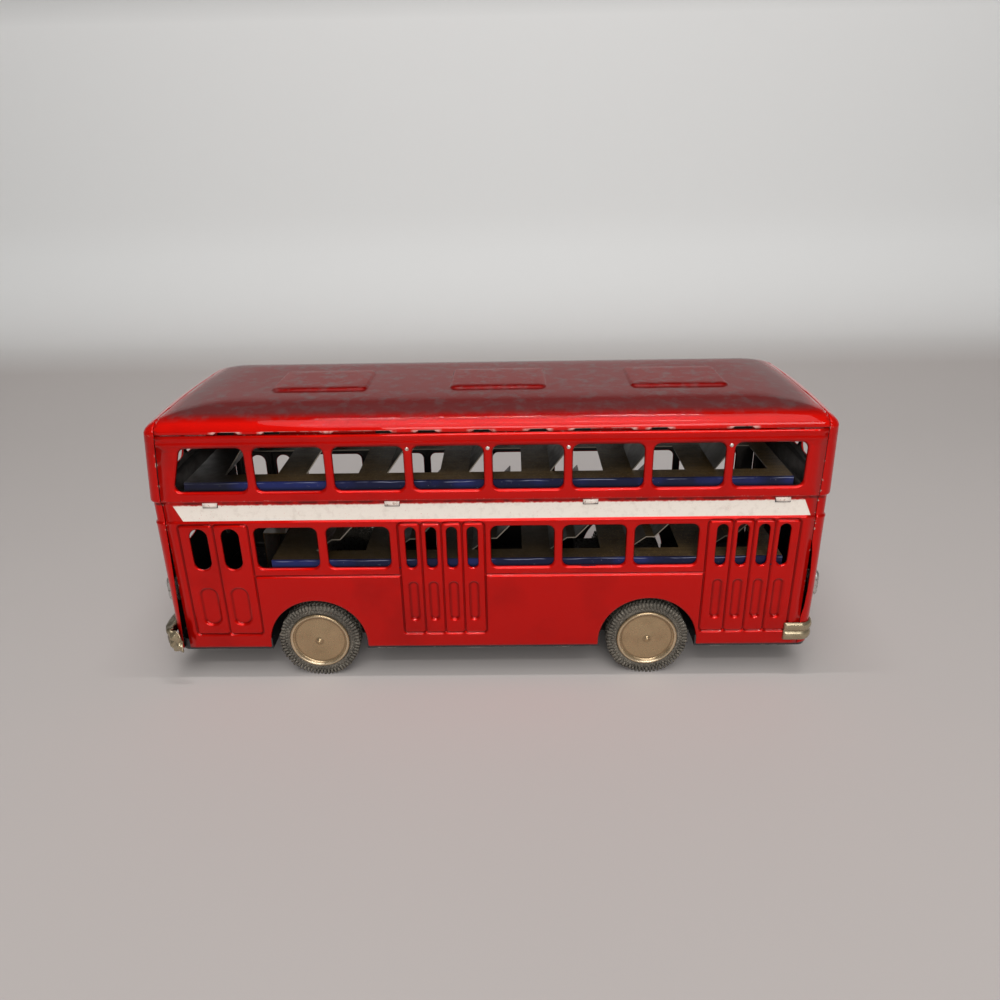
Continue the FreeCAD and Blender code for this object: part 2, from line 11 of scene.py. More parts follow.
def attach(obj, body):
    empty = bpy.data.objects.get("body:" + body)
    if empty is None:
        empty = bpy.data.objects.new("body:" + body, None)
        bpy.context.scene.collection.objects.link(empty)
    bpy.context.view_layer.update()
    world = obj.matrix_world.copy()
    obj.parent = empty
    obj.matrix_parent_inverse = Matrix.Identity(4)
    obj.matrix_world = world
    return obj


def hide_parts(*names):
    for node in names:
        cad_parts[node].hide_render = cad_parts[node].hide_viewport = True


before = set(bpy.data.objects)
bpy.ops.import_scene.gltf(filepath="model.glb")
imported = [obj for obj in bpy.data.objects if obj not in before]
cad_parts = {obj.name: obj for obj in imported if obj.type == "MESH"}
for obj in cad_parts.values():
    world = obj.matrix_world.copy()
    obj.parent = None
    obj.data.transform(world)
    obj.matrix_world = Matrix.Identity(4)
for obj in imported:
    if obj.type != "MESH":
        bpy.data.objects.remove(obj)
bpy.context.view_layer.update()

bl_info = {
    "name": "Tinplate Bus",
    "version": (1, 0, 0),
    "blender": (4, 5, 0),
    "location": "3D View > Sidebar > Tinplate Bus",
    "description": "Pressed panels, wheels, fittings and finishes of a tinplate toy double decker bus",
    "category": "Object",
}

MM = 0.001

# ---- Sizes of the body, in millimetres, as the pressings have them --------------------------
HALF_SIDE = 150.5           # from the middle to a seam between side and end
HALF_WIDTH = 51.0
SEAM = 0.3
SILL_Z = 17.0
BAND_Z = 86.0
BAND_PRINT = (86.55, 95.0)
CROWN_SHADE_AND_DUST = (134.2, 137.2)     # the roof's top is painted darker, as painted shade, and dusty between these heights
WAIST_Z = 96.6
EAVES_Z = 129.0
LOWER_INSET = 0.6
BAND_INSET = 1.2
FRONT_RAKE = 3.0
REAR_RAKE = 0.8
CORNER_FLAT = 1.0
CORNER_RADIUS = 5.5
END_BULGE = 2.0
ROOF_RISE = 10.0
AXLE_X = {"front": -85.5, "rear": 77.0}
AXLE_Z = 20.0
TYRE_WIDTH = 9.5
WHEEL_Y = HALF_WIDTH - LOWER_INSET - 1.0 - TYRE_WIDTH / 2
ARCH_RADIUS = 24.0
ARCH_Z = 19.0
SIDES = {"left": -1, "right": 1}
ENDS = {"front": -1, "rear": 1}

UPPER_GLASS = (101.6, 122.4)
LOWER_GLASS = (61.4, 82.4)
OVAL_GLASS = (61.0, 82.2)
FIRST_WINDOW_LEAN = 5.8
WINDOW_RADIUS = 3.2
# Window rows: bottom and top, front edge of the first, how many, pitch, width.
WINDOW_ROWS = {
    "left": ((UPPER_GLASS, -141.3, 8, 36.0, 31.85), (LOWER_GLASS, -110.3, 2, 34.1, 29.5),
             (LOWER_GLASS, 1.1, 3, 33.65, 29.5)),
    "right": ((UPPER_GLASS, -141.3, 8, 36.0, 31.85), (LOWER_GLASS, -108.0, 7, 36.0, 31.85)),
}
# Doors: centre, width, leaves, leaf pitch, glass width, dish width, dish bottom, dish top.
FRONT_DOOR = (-129.2, 32.8, 2, 14.9, 8.2, 9.4, 30.0, 51.0)
MIDDLE_DOOR = (-22.2, 40.6, 4, 9.7, 4.9, 5.2, 32.0, 53.5)
REAR_DOOR = (123.4, 42.6, 4, 9.65, 4.9, 5.2, 32.0, 53.5)
DOORS = {"left": (FRONT_DOOR, MIDDLE_DOOR, REAR_DOOR), "right": (FRONT_DOOR,)}
DOOR_FOOT_Z = 24.7
DOOR_HEAD_Z = 84.6
DOOR_RADIUS = 1.8
BELT_Z = 57.0
END_GLASS_WIDTH = 30.0
END_GLASS_POST = 4.2
END_LOWER_GLASS = {"front": (60.0, 82.0), "rear": (62.0, 82.0)}
HATCH_X = (-80.5, 5.0, 91.0)
HATCH_LENGTH = 46.5
HATCH_WIDTH = 35.0
HATCH_RADIUS = 3.5
HATCH_RISE = 1.1
DECK_FLOOR_Z = {"upper": 105.5, "lower": 65.0}
LOWER_SEAT_TOP_Z = 75.0     # above it the lower seats are printed orange
NOWHERE = 400.0             # a height above everything

# Pressed forms as (distance from the outline, share of the depth) pairs, read outward.
LIP = ((0.0, 1.0), (0.12, 0.72), (0.38, 0.4), (0.75, 0.15), (1.15, 0.03), (1.5, 0.0))
OVAL_LIP = ((0.0, 1.0), (0.1, 0.7), (0.3, 0.36), (0.6, 0.1), (0.95, 0.0))
GROOVE_HALF = ((0.1, 1.0), (0.38, 0.7), (0.75, 0.12), (1.15, 0.0))
GROOVE = tuple((-away, share) for away, share in GROOVE_HALF[::-1]) + GROOVE_HALF
DISH = ((-1.75, 1.0), (-1.0, 1.0), (-0.6, 0.9), (-0.2, 0.5), (0.15, 0.12), (0.5, 0.0))
RAISED = ((-1.6, 1.0), (-1.1, 0.9), (-0.7, 0.6), (-0.35, 0.22), (0.0, 0.0))
ARCH_ROLL = ((0.0, 0.35, 0.8, 1.3), (0.7, 0.3, 0.06, 0.0))      # distance from an arch, depth rolled inward
GUARD = 0.25                # an extra ring that keeps the flat sheet's shading flat

# Depth of a side below the upper deck's face, by height: lower face, ridge, band, step, eaves roll.
SIDE_PROFILE = (
    (SILL_Z, 0.9), (17.8, 0.62), (18.8, 0.6), (84.3, 0.6), (84.9, 0.5), (85.4, 0.42), (85.9, 0.6),
    (86.3, 1.1), (86.7, 1.2), (95.6, 1.2), (96.2, 1.15), (96.5, 0.75), (96.7, 0.25), (97.1, 0.04),
    (97.7, 0.0), (123.4, 0.0), (123.9, -0.16), (124.4, -0.22), (125.0, -0.06), (125.6, 0.12),
    (126.3, 0.06), (126.9, -0.08), (127.6, -0.05), (128.3, 0.12), (128.85, 0.46),
)


# ---- Settings that a user would change -------------------------------------------------------
def length(name, description, millimetres):
    return FloatProperty(name=name, description=description, default=millimetres * MM, min=0.0,
                         unit="LENGTH", precision=5)


def colour(name, description, default):
    return FloatVectorProperty(name=name, description=description, default=default, subtype="COLOR", size=3)


class BodySettings(bpy.types.PropertyGroup):
    sheet: length("Sheet", "Thickness of the tinplate", 0.42)
    lip_depth: length("Window lip", "How far a window's edge is rolled inward", 1.25)
    groove_depth: length("Groove", "Depth of the pressed door and belt lines", 0.85)
    dish_depth: length("Leaf dish", "Depth of the sunk panel of a door leaf", 1.15)


class WheelSettings(bpy.types.PropertyGroup):
    tread_ribs: IntProperty(name="Tread ribs", description="Ribs in one row round a tyre", default=66, min=8)


class FinishSettings(bpy.types.PropertyGroup):
    lacquer: colour("Lacquer", "Body lacquer", (0.64, 0.004, 0.0015))
    band: colour("Band", "Painted band between the decks", (0.9, 0.82, 0.73))
    khaki: colour("Khaki", "Printed floor and seats", (0.06, 0.037, 0.014))
    blue: colour("Blue", "Printed deck edges", (0.012, 0.02, 0.115))
    orange: colour("Orange", "Printed seat tops", (0.5, 0.055, 0.012))
    gold: colour("Gold", "Lacquered wheel discs", (0.46, 0.33, 0.19))
    rubber: colour("Rubber", "Aged tyres", (0.1, 0.088, 0.07))
    nickel: colour("Nickel", "Bumpers", (0.42, 0.345, 0.225))


class StageSettings(bpy.types.PropertyGroup):
    floor: colour("Floor", "Floor colour", (0.53, 0.49, 0.47))
    wall: colour("Wall", "Backdrop colour", (0.84, 0.84, 0.83))
    lens: FloatProperty(name="Lens", description="Focal length of the camera, in millimetres", default=29.04)


# ---- Mesh helpers ----------------------------------------------------------------------------
def linked(name, data):
    """Object with this data, put into the scene."""
    obj = bpy.data.objects.new(name, data)
    bpy.context.scene.collection.objects.link(obj)
    return obj


def new_object(name, verts, faces):
    """Smooth mesh object at the origin from points in millimetres."""
    mesh = bpy.data.meshes.new(name)
    mesh.from_pydata([Vector(v) * MM for v in verts], [], faces)
    mesh.update()
    mesh.shade_smooth()
    return linked(name, mesh)


def grid_faces(rows, columns, rows_close=False, columns_close=False):
    """Quads over rows of equally many points; either way can close on itself."""
    faces = []
    for i in range(rows if rows_close else rows - 1):
        here, there = i * columns, (i + 1) % rows * columns
        for k in range(columns if columns_close else columns - 1):
            after = (k + 1) % columns
            faces.append((here + k, here + after, there + after, there + k))
    return faces


def note(obj, name, values):
    """Keep a number for each point on the mesh, for the finish to read."""
    obj.data.attributes.new(name, "FLOAT", "POINT").data.foreach_set("value", values)


def joined(name, pieces):
    """One object from several mesh objects."""
    work = bmesh.new()
    for piece in pieces:
        work.from_mesh(piece.data)
        bpy.data.objects.remove(piece)
    mesh = bpy.data.meshes.new(name)
    work.to_mesh(mesh)
    work.free()
    mesh.shade_smooth()
    return linked(name, mesh)


def baked(obj):
    """Replace an object's mesh by its evaluated one and drop its modifiers."""
    view = bpy.context.evaluated_depsgraph_get()
    view.update()
    mesh = bpy.data.meshes.new_from_object(obj.evaluated_get(view), depsgraph=view)
    obj.modifiers.clear()
    obj.data = mesh
    return obj


WELD = 0.002 * MM           # points closer than this are one


def welded(obj):
    """Merge points that lie together and turn all faces outward."""
    work = bmesh.new()
    work.from_mesh(obj.data)
    bmesh.ops.remove_doubles(work, verts=work.verts, dist=WELD)
    bmesh.ops.recalc_face_normals(work, faces=work.faces)
    work.to_mesh(obj.data)
    work.free()
    obj.data.shade_smooth()
    return obj


def thickened(obj, sheet):
    """Give a surface the sheet's thickness on its inner side, with the inner faces in the second slot."""
    for _ in range(2):
        obj.data.materials.append(None)
    solid = obj.modifiers.new("Sheet", "SOLIDIFY")
    solid.thickness = sheet
    solid.offset = -1
    solid.material_offset = 1
    solid.use_quality_normals = True
    return baked(obj)


def lathe(name, profile, x, side, steps):
    """Turned piece about an axle; profile is (radius, distance outward) from the axis out."""
    verts = []
    for k in range(steps):
        angle = 2 * math.pi * k / steps
        over, up = math.cos(angle), math.sin(angle)
        verts += [(x + radius * over, side * (WHEEL_Y + out), AXLE_Z + radius * up)
                  for radius, out in profile]
    return welded(new_object(name, verts, grid_faces(steps, len(profile), rows_close=True)))


def clamped(value):
    return min(max(value, 0.0), 1.0)


def eased(share):
    """Share of the way, starting and ending gently."""
    return share * share * (3 - 2 * share)


# ---- Outlines on the flat sheet ----------------------------------------------------------------
def corner_arcs(corners, radius):
    """Centre, start and turn of each corner's arc, for a convex outline read anticlockwise."""
    arcs = []
    for i, corner in enumerate(corners):
        before = np.array(corner) - np.array(corners[i - 1])
        after = np.array(corners[(i + 1) % len(corners)]) - np.array(corner)
        before = before / np.linalg.norm(before)
        after = after / np.linalg.norm(after)
        turn = math.acos(np.clip(before @ after, -1, 1))
        inward = (after - before) / np.linalg.norm(after - before)
        centre = np.array(corner) + inward * radius / math.cos(turn / 2)
        start = math.atan2(-before[0], before[1])
        arcs.append((centre, start, turn))
    return arcs


def ring(corners, radius, grow, steps=7):
    """Points of the outline moved outward by grow."""
    reach = max(radius + grow, 0.02)
    points = []
    for centre, start, turn in corner_arcs(corners, radius):
        for k in range(steps + 1):
            angle = start + turn * k / steps
            points.append((centre[0] + reach * math.cos(angle), centre[1] + reach * math.sin(angle)))
    return points


def rectangle(x0, x1, z0, z1, lean=0.0):
    """Corners of an opening; lean tilts its front edge about a point somewhat below its middle."""
    return ((x0 - 0.4 * lean, z0), (x1, z0), (x1, z1), (x0 + 0.6 * lean, z1))


def centred(x, width, z0, z1):
    return rectangle(x - width / 2, x + width / 2, z0, z1)


def distance(points, corners, radius):
    """Signed distance of points from a rounded outline, negative inside."""
    centres = [arc[0] for arc in corner_arcs(corners, radius)]
    nearest = np.full(len(points), 1e9)
    inside = np.ones(len(points), bool)
    for i, a in enumerate(centres):
        b = centres[(i + 1) % len(centres)]
        along = b - a
        length = max(along @ along, 1e-12)
        rel = points - a
        share = np.clip(rel @ along / length, 0, 1)[:, None]
        nearest = np.minimum(nearest, np.linalg.norm(rel - share * along, axis=1))
        inside &= along[0] * rel[:, 1] - along[1] * rel[:, 0] >= 0
    return np.where(inside, -nearest, nearest) - radius


class Pressing:
    """A flat sheet with pressed forms and openings, which a place function then bends into shape."""

    def __init__(self, border, base):
        self.border = [np.array(p, float) for p in border]
        self.base = base
        self.forms = []
        self.rows = []
        self.points = []
        self.arches = []

    def form(self, corners, radius, shape, depth, hole=False):
        self.forms.append((corners, radius, shape, depth, hole))

    def pressed(self, points):
        """Depth of the forms alone at each point."""
        pressed = np.zeros(len(points))
        for corners, radius, shape, depth, _ in self.forms:
            away, share = zip(*shape)
            amount = depth * np.interp(distance(points, corners, radius), away, share)
            pressed = np.where(np.abs(amount) > np.abs(pressed), amount, pressed)
        return pressed

    def depth(self, points):
        """Depth of the sheet below its face at each point."""
        return self.pressed(points) + np.interp(points[:, 1], *zip(*self.base))

    def _loops(self):
        for corners, radius, shape, _, _ in self.forms:
            for away, _ in shape:
                yield ring(corners, radius, away)
            yield ring(corners, radius, shape[-1][0] + GUARD)
        for x, z, radius in self.arches:
            for extra in ARCH_ROLL[0]:
                yield [(x + (radius + extra) * math.cos(a), z + (radius + extra) * math.sin(a))
                       for a in np.linspace(0, 2 * math.pi, 96, endpoint=False)]

    def surface(self):
        """Points of the cut and pressed sheet with their depths, and its triangles."""
        points = list(self.border)
        edges = [(i, (i + 1) % len(points)) for i in range(len(points))]
        low, high = np.min(self.border, axis=0), np.max(self.border, axis=0)
        for loop in self._loops():
            first = len(points)
            points += [np.array(p) for p in loop]
            edges += [(first + i, first + (i + 1) % len(loop)) for i in range(len(loop))]
        for line in self.rows:
            first = len(points)
            points += [np.array(p) for p in line]
            edges += [(first + i, first + i + 1) for i in range(len(line) - 1)]
        points += [np.array(p) for p in self.points]
        flat = [Vector(np.clip(p, low, high)) for p in points]
        out, _, tris, _, _, _ = delaunay_2d_cdt(flat, edges, [], 0, 1e-4)
        spots = np.array([tuple(v) for v in out])
        tris = np.array([t for t in tris])
        middle = spots[tris].mean(axis=1)
        keep = inside_polygon(middle, self.border)
        for corners, radius, _, _, hole in self.forms:
            if hole:
                keep &= distance(middle, corners, radius) > 0
        for x, z, radius in self.arches:
            keep &= np.hypot(middle[:, 0] - x, middle[:, 1] - z) > radius
        tris = tris[keep]
        used = np.unique(tris)
        index = np.full(len(spots), -1)
        index[used] = np.arange(len(used))
        return spots[used], self.depth(spots[used]), index[tris].tolist()


def note_creases(obj, sheet, spots, body):
    """Keep on the mesh how hollow the sheet is at each point, where the finish paints shade and dirt."""
    around = [sheet.pressed(spots + step) for step in ((1.1, 0), (-1.1, 0), (0, 1.1), (0, -1.1))]
    hollow = sheet.pressed(spots) - sum(around) / 4
    share = np.clip(2.2 * hollow / (body.groove_depth / MM), 0, 1)
    note(obj, "crease", share.astype(np.float32))


def inside_polygon(points, polygon):
    """Even-odd test of points against a closed outline."""
    inside = np.zeros(len(points), bool)
    for i, b in enumerate(polygon):
        a = polygon[i - 1]
        crosses = (a[1] > points[:, 1]) != (b[1] > points[:, 1])
        with np.errstate(divide="ignore", invalid="ignore"):
            at = (b[0] - a[0]) * (points[:, 1] - a[1]) / (b[1] - a[1]) + a[0]
        inside ^= crosses & (points[:, 0] < at)
    return inside


def outward(obj, direction):
    """Flip an open sheet whose faces look the wrong way on the whole."""
    total = Vector()
    for face in obj.data.polygons:
        total += face.normal * face.area
    if total.dot(direction) < 0:
        obj.data.flip_normals()
    return obj


# ---- Side panels -------------------------------------------------------------------------------
def leaf_centres(door):
    centre, _, leaves, pitch = door[:4]
    return [centre + (i - (leaves - 1) / 2) * pitch for i in range(leaves)]


def seam_x(z, end, gap):
    """Edge of a side panel at a height; the front seam leans with the upper deck."""
    if end == "rear":
        return HALF_SIDE - gap
    return -HALF_SIDE + gap + FRONT_RAKE * clamped((z - WAIST_Z) / (EAVES_Z - WAIST_Z))


def side_border(levels):
    left = [(seam_x(z, "front", SEAM / 2), z) for z in levels]
    right = [(seam_x(z, "rear", SEAM / 2), z) for z in levels]
    return right + left[::-1]


def side_pressing(side, body):
    """The whole side as one pressing: windows, doors, belt lines and wheel arches."""
    levels = [z for z, _ in SIDE_PROFILE]
    sheet = Pressing(side_border(levels), SIDE_PROFILE)
    lip = body.lip_depth / MM
    groove = body.groove_depth / MM
    dish = body.dish_depth / MM
    for z in levels[1:-1]:
        xs = np.linspace(seam_x(z, "front", SEAM / 2), seam_x(z, "rear", SEAM / 2), 76)
        sheet.rows.append([(x, z) for x in xs])
    for (z0, z1), start, count, pitch, width in WINDOW_ROWS[side]:
        for i in range(count):
            x = start + i * pitch
            lean = FIRST_WINDOW_LEAN if i == 0 and z0 > WAIST_Z else 0.0
            sheet.form(rectangle(x, x + width, z0, z1, lean), WINDOW_RADIUS, LIP, lip, hole=True)
    borders = []
    for door in DOORS[side]:
        centre, width, _, pitch, glass, dish_width, z0, z1 = door
        borders += [centre - width / 2, centre + width / 2]
        leaves = leaf_centres(door)
        edges = [borders[-2]] + [x + pitch / 2 for x in leaves[:-1]] + [borders[-1]]
        for x0, x1 in zip(edges, edges[1:]):
            sheet.form(rectangle(x0, x1, DOOR_FOOT_Z, DOOR_HEAD_Z), DOOR_RADIUS, GROOVE, groove)
        for x in leaves:
            sheet.form(centred(x, dish_width, z0, z1), dish_width * 0.46, DISH, dish)
            sheet.form(centred(x, glass, *OVAL_GLASS), glass * 0.499, OVAL_LIP, lip * 0.7, hole=True)
    ends = borders[1:] + [HALF_SIDE - 1.2]
    for x0, x1 in zip(ends[::2], ends[1::2]):
        if x1 - x0 > 5:
            sheet.form(rectangle(x0, x1, BELT_Z - 0.02, BELT_Z + 0.02), 0.005, GROOVE, groove)
    sheet.arches = [(x, ARCH_Z, ARCH_RADIUS) for x in AXLE_X.values()]
    return sheet


def arch_roll(x, z):
    """Inward roll of the sheet's edge round a wheel arch."""
    away = min(math.hypot(x - cx, z - ARCH_Z) - ARCH_RADIUS for cx in AXLE_X.values())
    return float(np.interp(away, *ARCH_ROLL))


def side_panel(side, body):
    sign = SIDES[side]
    sheet = side_pressing(side, body)
    spots, depth, tris = sheet.surface()
    verts = [(x, sign * (HALF_WIDTH - d - arch_roll(x, z)), z) for (x, z), d in zip(spots, depth)]
    obj = new_object(f"{side}_side_pressing", verts, tris)
    note_creases(obj, sheet, spots, body)
    return thickened(outward(obj, Vector((0, sign, 0))), body.sheet)


# ---- End panels ----------------------------------------------------------------------------------
END_HALF = HALF_WIDTH - CORNER_RADIUS
END_CORNER = math.pi / 2 * CORNER_RADIUS
END_REACH = END_HALF + END_CORNER + CORNER_FLAT
ROOF_SHEET = 24.0           # width of the roof's rounding, along the sheet
RAKE = {"front": FRONT_RAKE, "rear": REAR_RAKE}

END_PROFILE = SIDE_PROFILE[:15] + ((WAIST_Z + 2, 0.0), (EAVES_Z + 60, 0.0))
COLUMN_GAP = 0.2            # a column of points keeps this far from the panel's edge
LAP_LIFT = 0.45             # a sprung lap stands off the corner by this share of its gap
# How far the left lap has sprung from its seam, by height.
LAP_GAP = {
    "front": ((SILL_Z, 3.0), (28.0, 2.3), (45.0, 1.5), (84.3, 0.06), (98.0, 0.1), (112.0, 0.25),
              (128.0, 0.1)),
    "rear": ((SILL_Z, 0.0), (32.0, 0.0), (38.0, 0.9), (47.0, 1.3), (58.0, 1.3), (68.0, 0.7),
             (74.0, 0.0), (128.0, 0.0)),
}


def roof_profile(share):
    """Rise and the set-in of side and end, at a share of the way up the roof's rounding."""
    a, b, c = 3 * (1 - share) ** 2 * share, 3 * (1 - share) * share ** 2, share ** 3
    return 7.0 * a + ROOF_RISE * (b + c), 8.5 * b + 25.0 * c, 20.0 * b + 34.0 * c


def plan_section(w, end):
    """Height, side and end set-in, corner radius and lean of the plan outline, w up the sheet."""
    if w <= EAVES_Z:
        share = max(w - WAIST_Z, 0.0) / (EAVES_Z - WAIST_Z)
        return w, 0.0, 0.0, CORNER_RADIUS, RAKE[end] * share
    share = min((w - EAVES_Z) / ROOF_SHEET, 1.0)
    rise, side, ends = roof_profile(share)
    return EAVES_Z + rise, side, ends, CORNER_RADIUS + 2.5 * share, RAKE[end]


def plan_spot(s, w, end):
    """Point and outward direction of an end's plan outline, s from the end's middle."""
    z, side_inset, end_inset, radius, lean = plan_section(w, end)
    reach = HALF_SIDE + CORNER_FLAT + CORNER_RADIUS - end_inset - lean
    half = HALF_WIDTH - side_inset
    away = abs(s)
    if away <= END_HALF:
        share = away / END_HALF
        x, y = reach + END_BULGE * (1 - share ** 2), share * (half - radius)
        nx, ny = half - radius, 2 * END_BULGE * share
    elif away <= END_HALF + END_CORNER:
        angle = (away - END_HALF) / END_CORNER * math.pi / 2
        nx, ny = math.cos(angle), math.sin(angle)
        x, y = reach - radius * (1 - nx), half - radius * (1 - ny)
    else:
        x, y, nx, ny = reach - radius - (away - END_HALF - END_CORNER), half, 0.0, 1.0
    length = math.hypot(nx, ny)
    turn = math.copysign(1, s)
    return ENDS[end] * x, turn * y, z, ENDS[end] * nx / length, turn * ny / length


def lap_edge(w, end, hand):
    """Where an end panel's lap ends, as a distance along the outline from the end's middle."""
    if w > EAVES_Z:
        return END_REACH + 3.0
    slack = 0.0 if end == "front" else RAKE[end] * max(w - WAIST_Z, 0.0) / (EAVES_Z - WAIST_Z)
    gap = float(np.interp(w, *zip(*LAP_GAP[end]))) if hand == "left" else 0.0
    return END_REACH - slack - SEAM / 2 - gap


def end_pressing(end, body):
    """The whole end as one pressing, with windows, from the sill over the roof's edge."""
    levels = {z for z, _ in END_PROFILE[:-2] + LAP_GAP[end]} | set(np.linspace(100.0, 128.0, 8))
    levels = sorted(levels)
    levels += [EAVES_Z + 0.02] + list(np.linspace(EAVES_Z + 0.8, EAVES_Z + 0.6 * ROOF_SHEET, 14))
    right = [(lap_edge(w, end, "right"), w) for w in levels]
    left = [(-lap_edge(w, end, "left"), w) for w in levels]
    sheet = Pressing(right + left[::-1], END_PROFILE)
    bend = [END_HALF + END_CORNER * k / 7 for k in range(8)]
    columns = np.array([-c for c in bend[::-1]] + list(np.linspace(-END_HALF, END_HALF, 25)[1:-1]) + bend)
    for low, high in list(zip(left, right))[1:-1]:
        inner = [(c, low[1]) for c in columns if low[0] + COLUMN_GAP < c < high[0] - COLUMN_GAP]
        sheet.rows.append([low, *inner, high])
    for w in np.arange(22.0, 60.0, 5.0):
        sheet.points += [(c, w) for c in columns]
    lip = body.lip_depth / MM
    for z0, z1 in (UPPER_GLASS, END_LOWER_GLASS[end]):
        for hand in SIDES.values():
            y = hand * (END_GLASS_WIDTH + END_GLASS_POST) / 2
            sheet.form(centred(y, END_GLASS_WIDTH, z0, z1), WINDOW_RADIUS, LIP, lip, hole=True)
    return sheet


def cut_at_seam(work, end, gap, **cleared):
    """Cut a mesh in the plane of an end's seam at the eaves, and clear one side of it."""
    seam = Vector((seam_x(EAVES_Z, end, gap) * MM, 0, 0))
    bmesh.ops.bisect_plane(work, geom=work.verts[:] + work.edges[:] + work.faces[:], dist=1e-6,
                           plane_co=seam, plane_no=(ENDS[end], 0, 0), **cleared)


def end_panel(end, body):
    spots, depth, tris = end_pressing(end, body).surface()
    verts = []
    for (s, w), d in zip(spots, depth):
        x, y, z, nx, ny = plan_spot(s, w, end)
        lift = 0.0
        if s < 0 and w < EAVES_Z:
            gap = float(np.interp(w, *zip(*LAP_GAP[end])))
            lift = LAP_LIFT * gap * clamped((-s - END_HALF) / END_CORNER)
        verts.append((x - nx * (d - lift), y - ny * (d - lift), z))
    obj = new_object(f"{end}_pressing", verts, tris)
    outward(obj, Vector((ENDS[end], 0, 0)))
    work = bmesh.new()
    work.from_mesh(obj.data)
    cut_at_seam(work, end, -SEAM / 2, clear_inner=True)
    work.to_mesh(obj.data)
    work.free()
    return thickened(obj, body.sheet)


# ---- Roof ----------------------------------------------------------------------------------------
# Long notches in the roof's edge, where the side's flange shows: from, to.
ROOF_NOTCHES = ((-121.0, -110.0), (-99.5, -72.5), (-68.5, -41.5), (-31.0, -21.6), (-6.4, 2.6),
                (18.4, 27.6), (38.2, 65.0), (72.0, 81.0), (108.0, 118.0))
# Parts of those notches that are open to the inside.
ROOF_SLOTS = ((-119.5, -112.0), (-98.7, -91.7), (-49.0, -41.8), (-30.0, -22.4), (-5.4, 1.7), (19.3, 26.8),
              (39.1, 46.2), (73.0, 80.0), (109.0, 117.0))
# Rings of points on the roof's rounding, up the sheet from the eaves.
ROOF_STEPS = (2.0, 3.0, 4.2, 5.6, 7.0, 8.5, 10.0, 11.5, 13.0, 14.5, 16.0, 18.0, 20.0, 22.0, ROOF_SHEET)
FLANK_Y = 49.0              # the roof's flank stands outside this
CROWN_RISE = 0.25
NOTCH_RISE = 1.3
NOTCH_BEVEL = 1.3
# Sections of the side's top flange and of the roof's tabs: inward from the upper face, up from the eaves.
FLANGE_LINE = ((1.3, -0.4), (1.1, 0.2), (1.15, 1.0), (1.6, 2.6))
TAB_LINE = ((4.4, -1.4), (4.0, 0.4), (3.6, 2.2), (3.0, 3.6))
TAB_OVERLAP = 0.8           # of a tab past its slot
FLANGE_SHADE = 0.7         # the flange is painted as dark as this share of a full crease, as painted shade under the roof's edge
EAVES_SHEET = 0.25 * MM


def roof_ring(w, xs, inset=0.0):
    """Closed plan outline w up the sheet: left side towards the rear, rear end, right side, front end."""
    ends = np.linspace(-END_HALF - END_CORNER, END_HALF + END_CORNER, 49)
    z, side = plan_section(w, "rear")[:2]
    y = HALF_WIDTH - side - inset
    first = [plan_spot(s, w, "rear") for s in ends]
    last = [plan_spot(-s, w, "front") for s in ends]
    low, high = last[-1][0], first[0][0]
    run = np.array(xs)
    if w > EAVES_Z + 3:
        run = low + (run - xs[0]) / (xs[-1] - xs[0]) * (high - low)
    first, last = [[(p[0] - inset * p[3], p[1] - inset * p[4], z) for p in spots]
                   for spots in (first, last)]
    return [(x, -y, z) for x in run[1:-1]] + first + [(x, y, z) for x in run[-2:0:-1]] + last


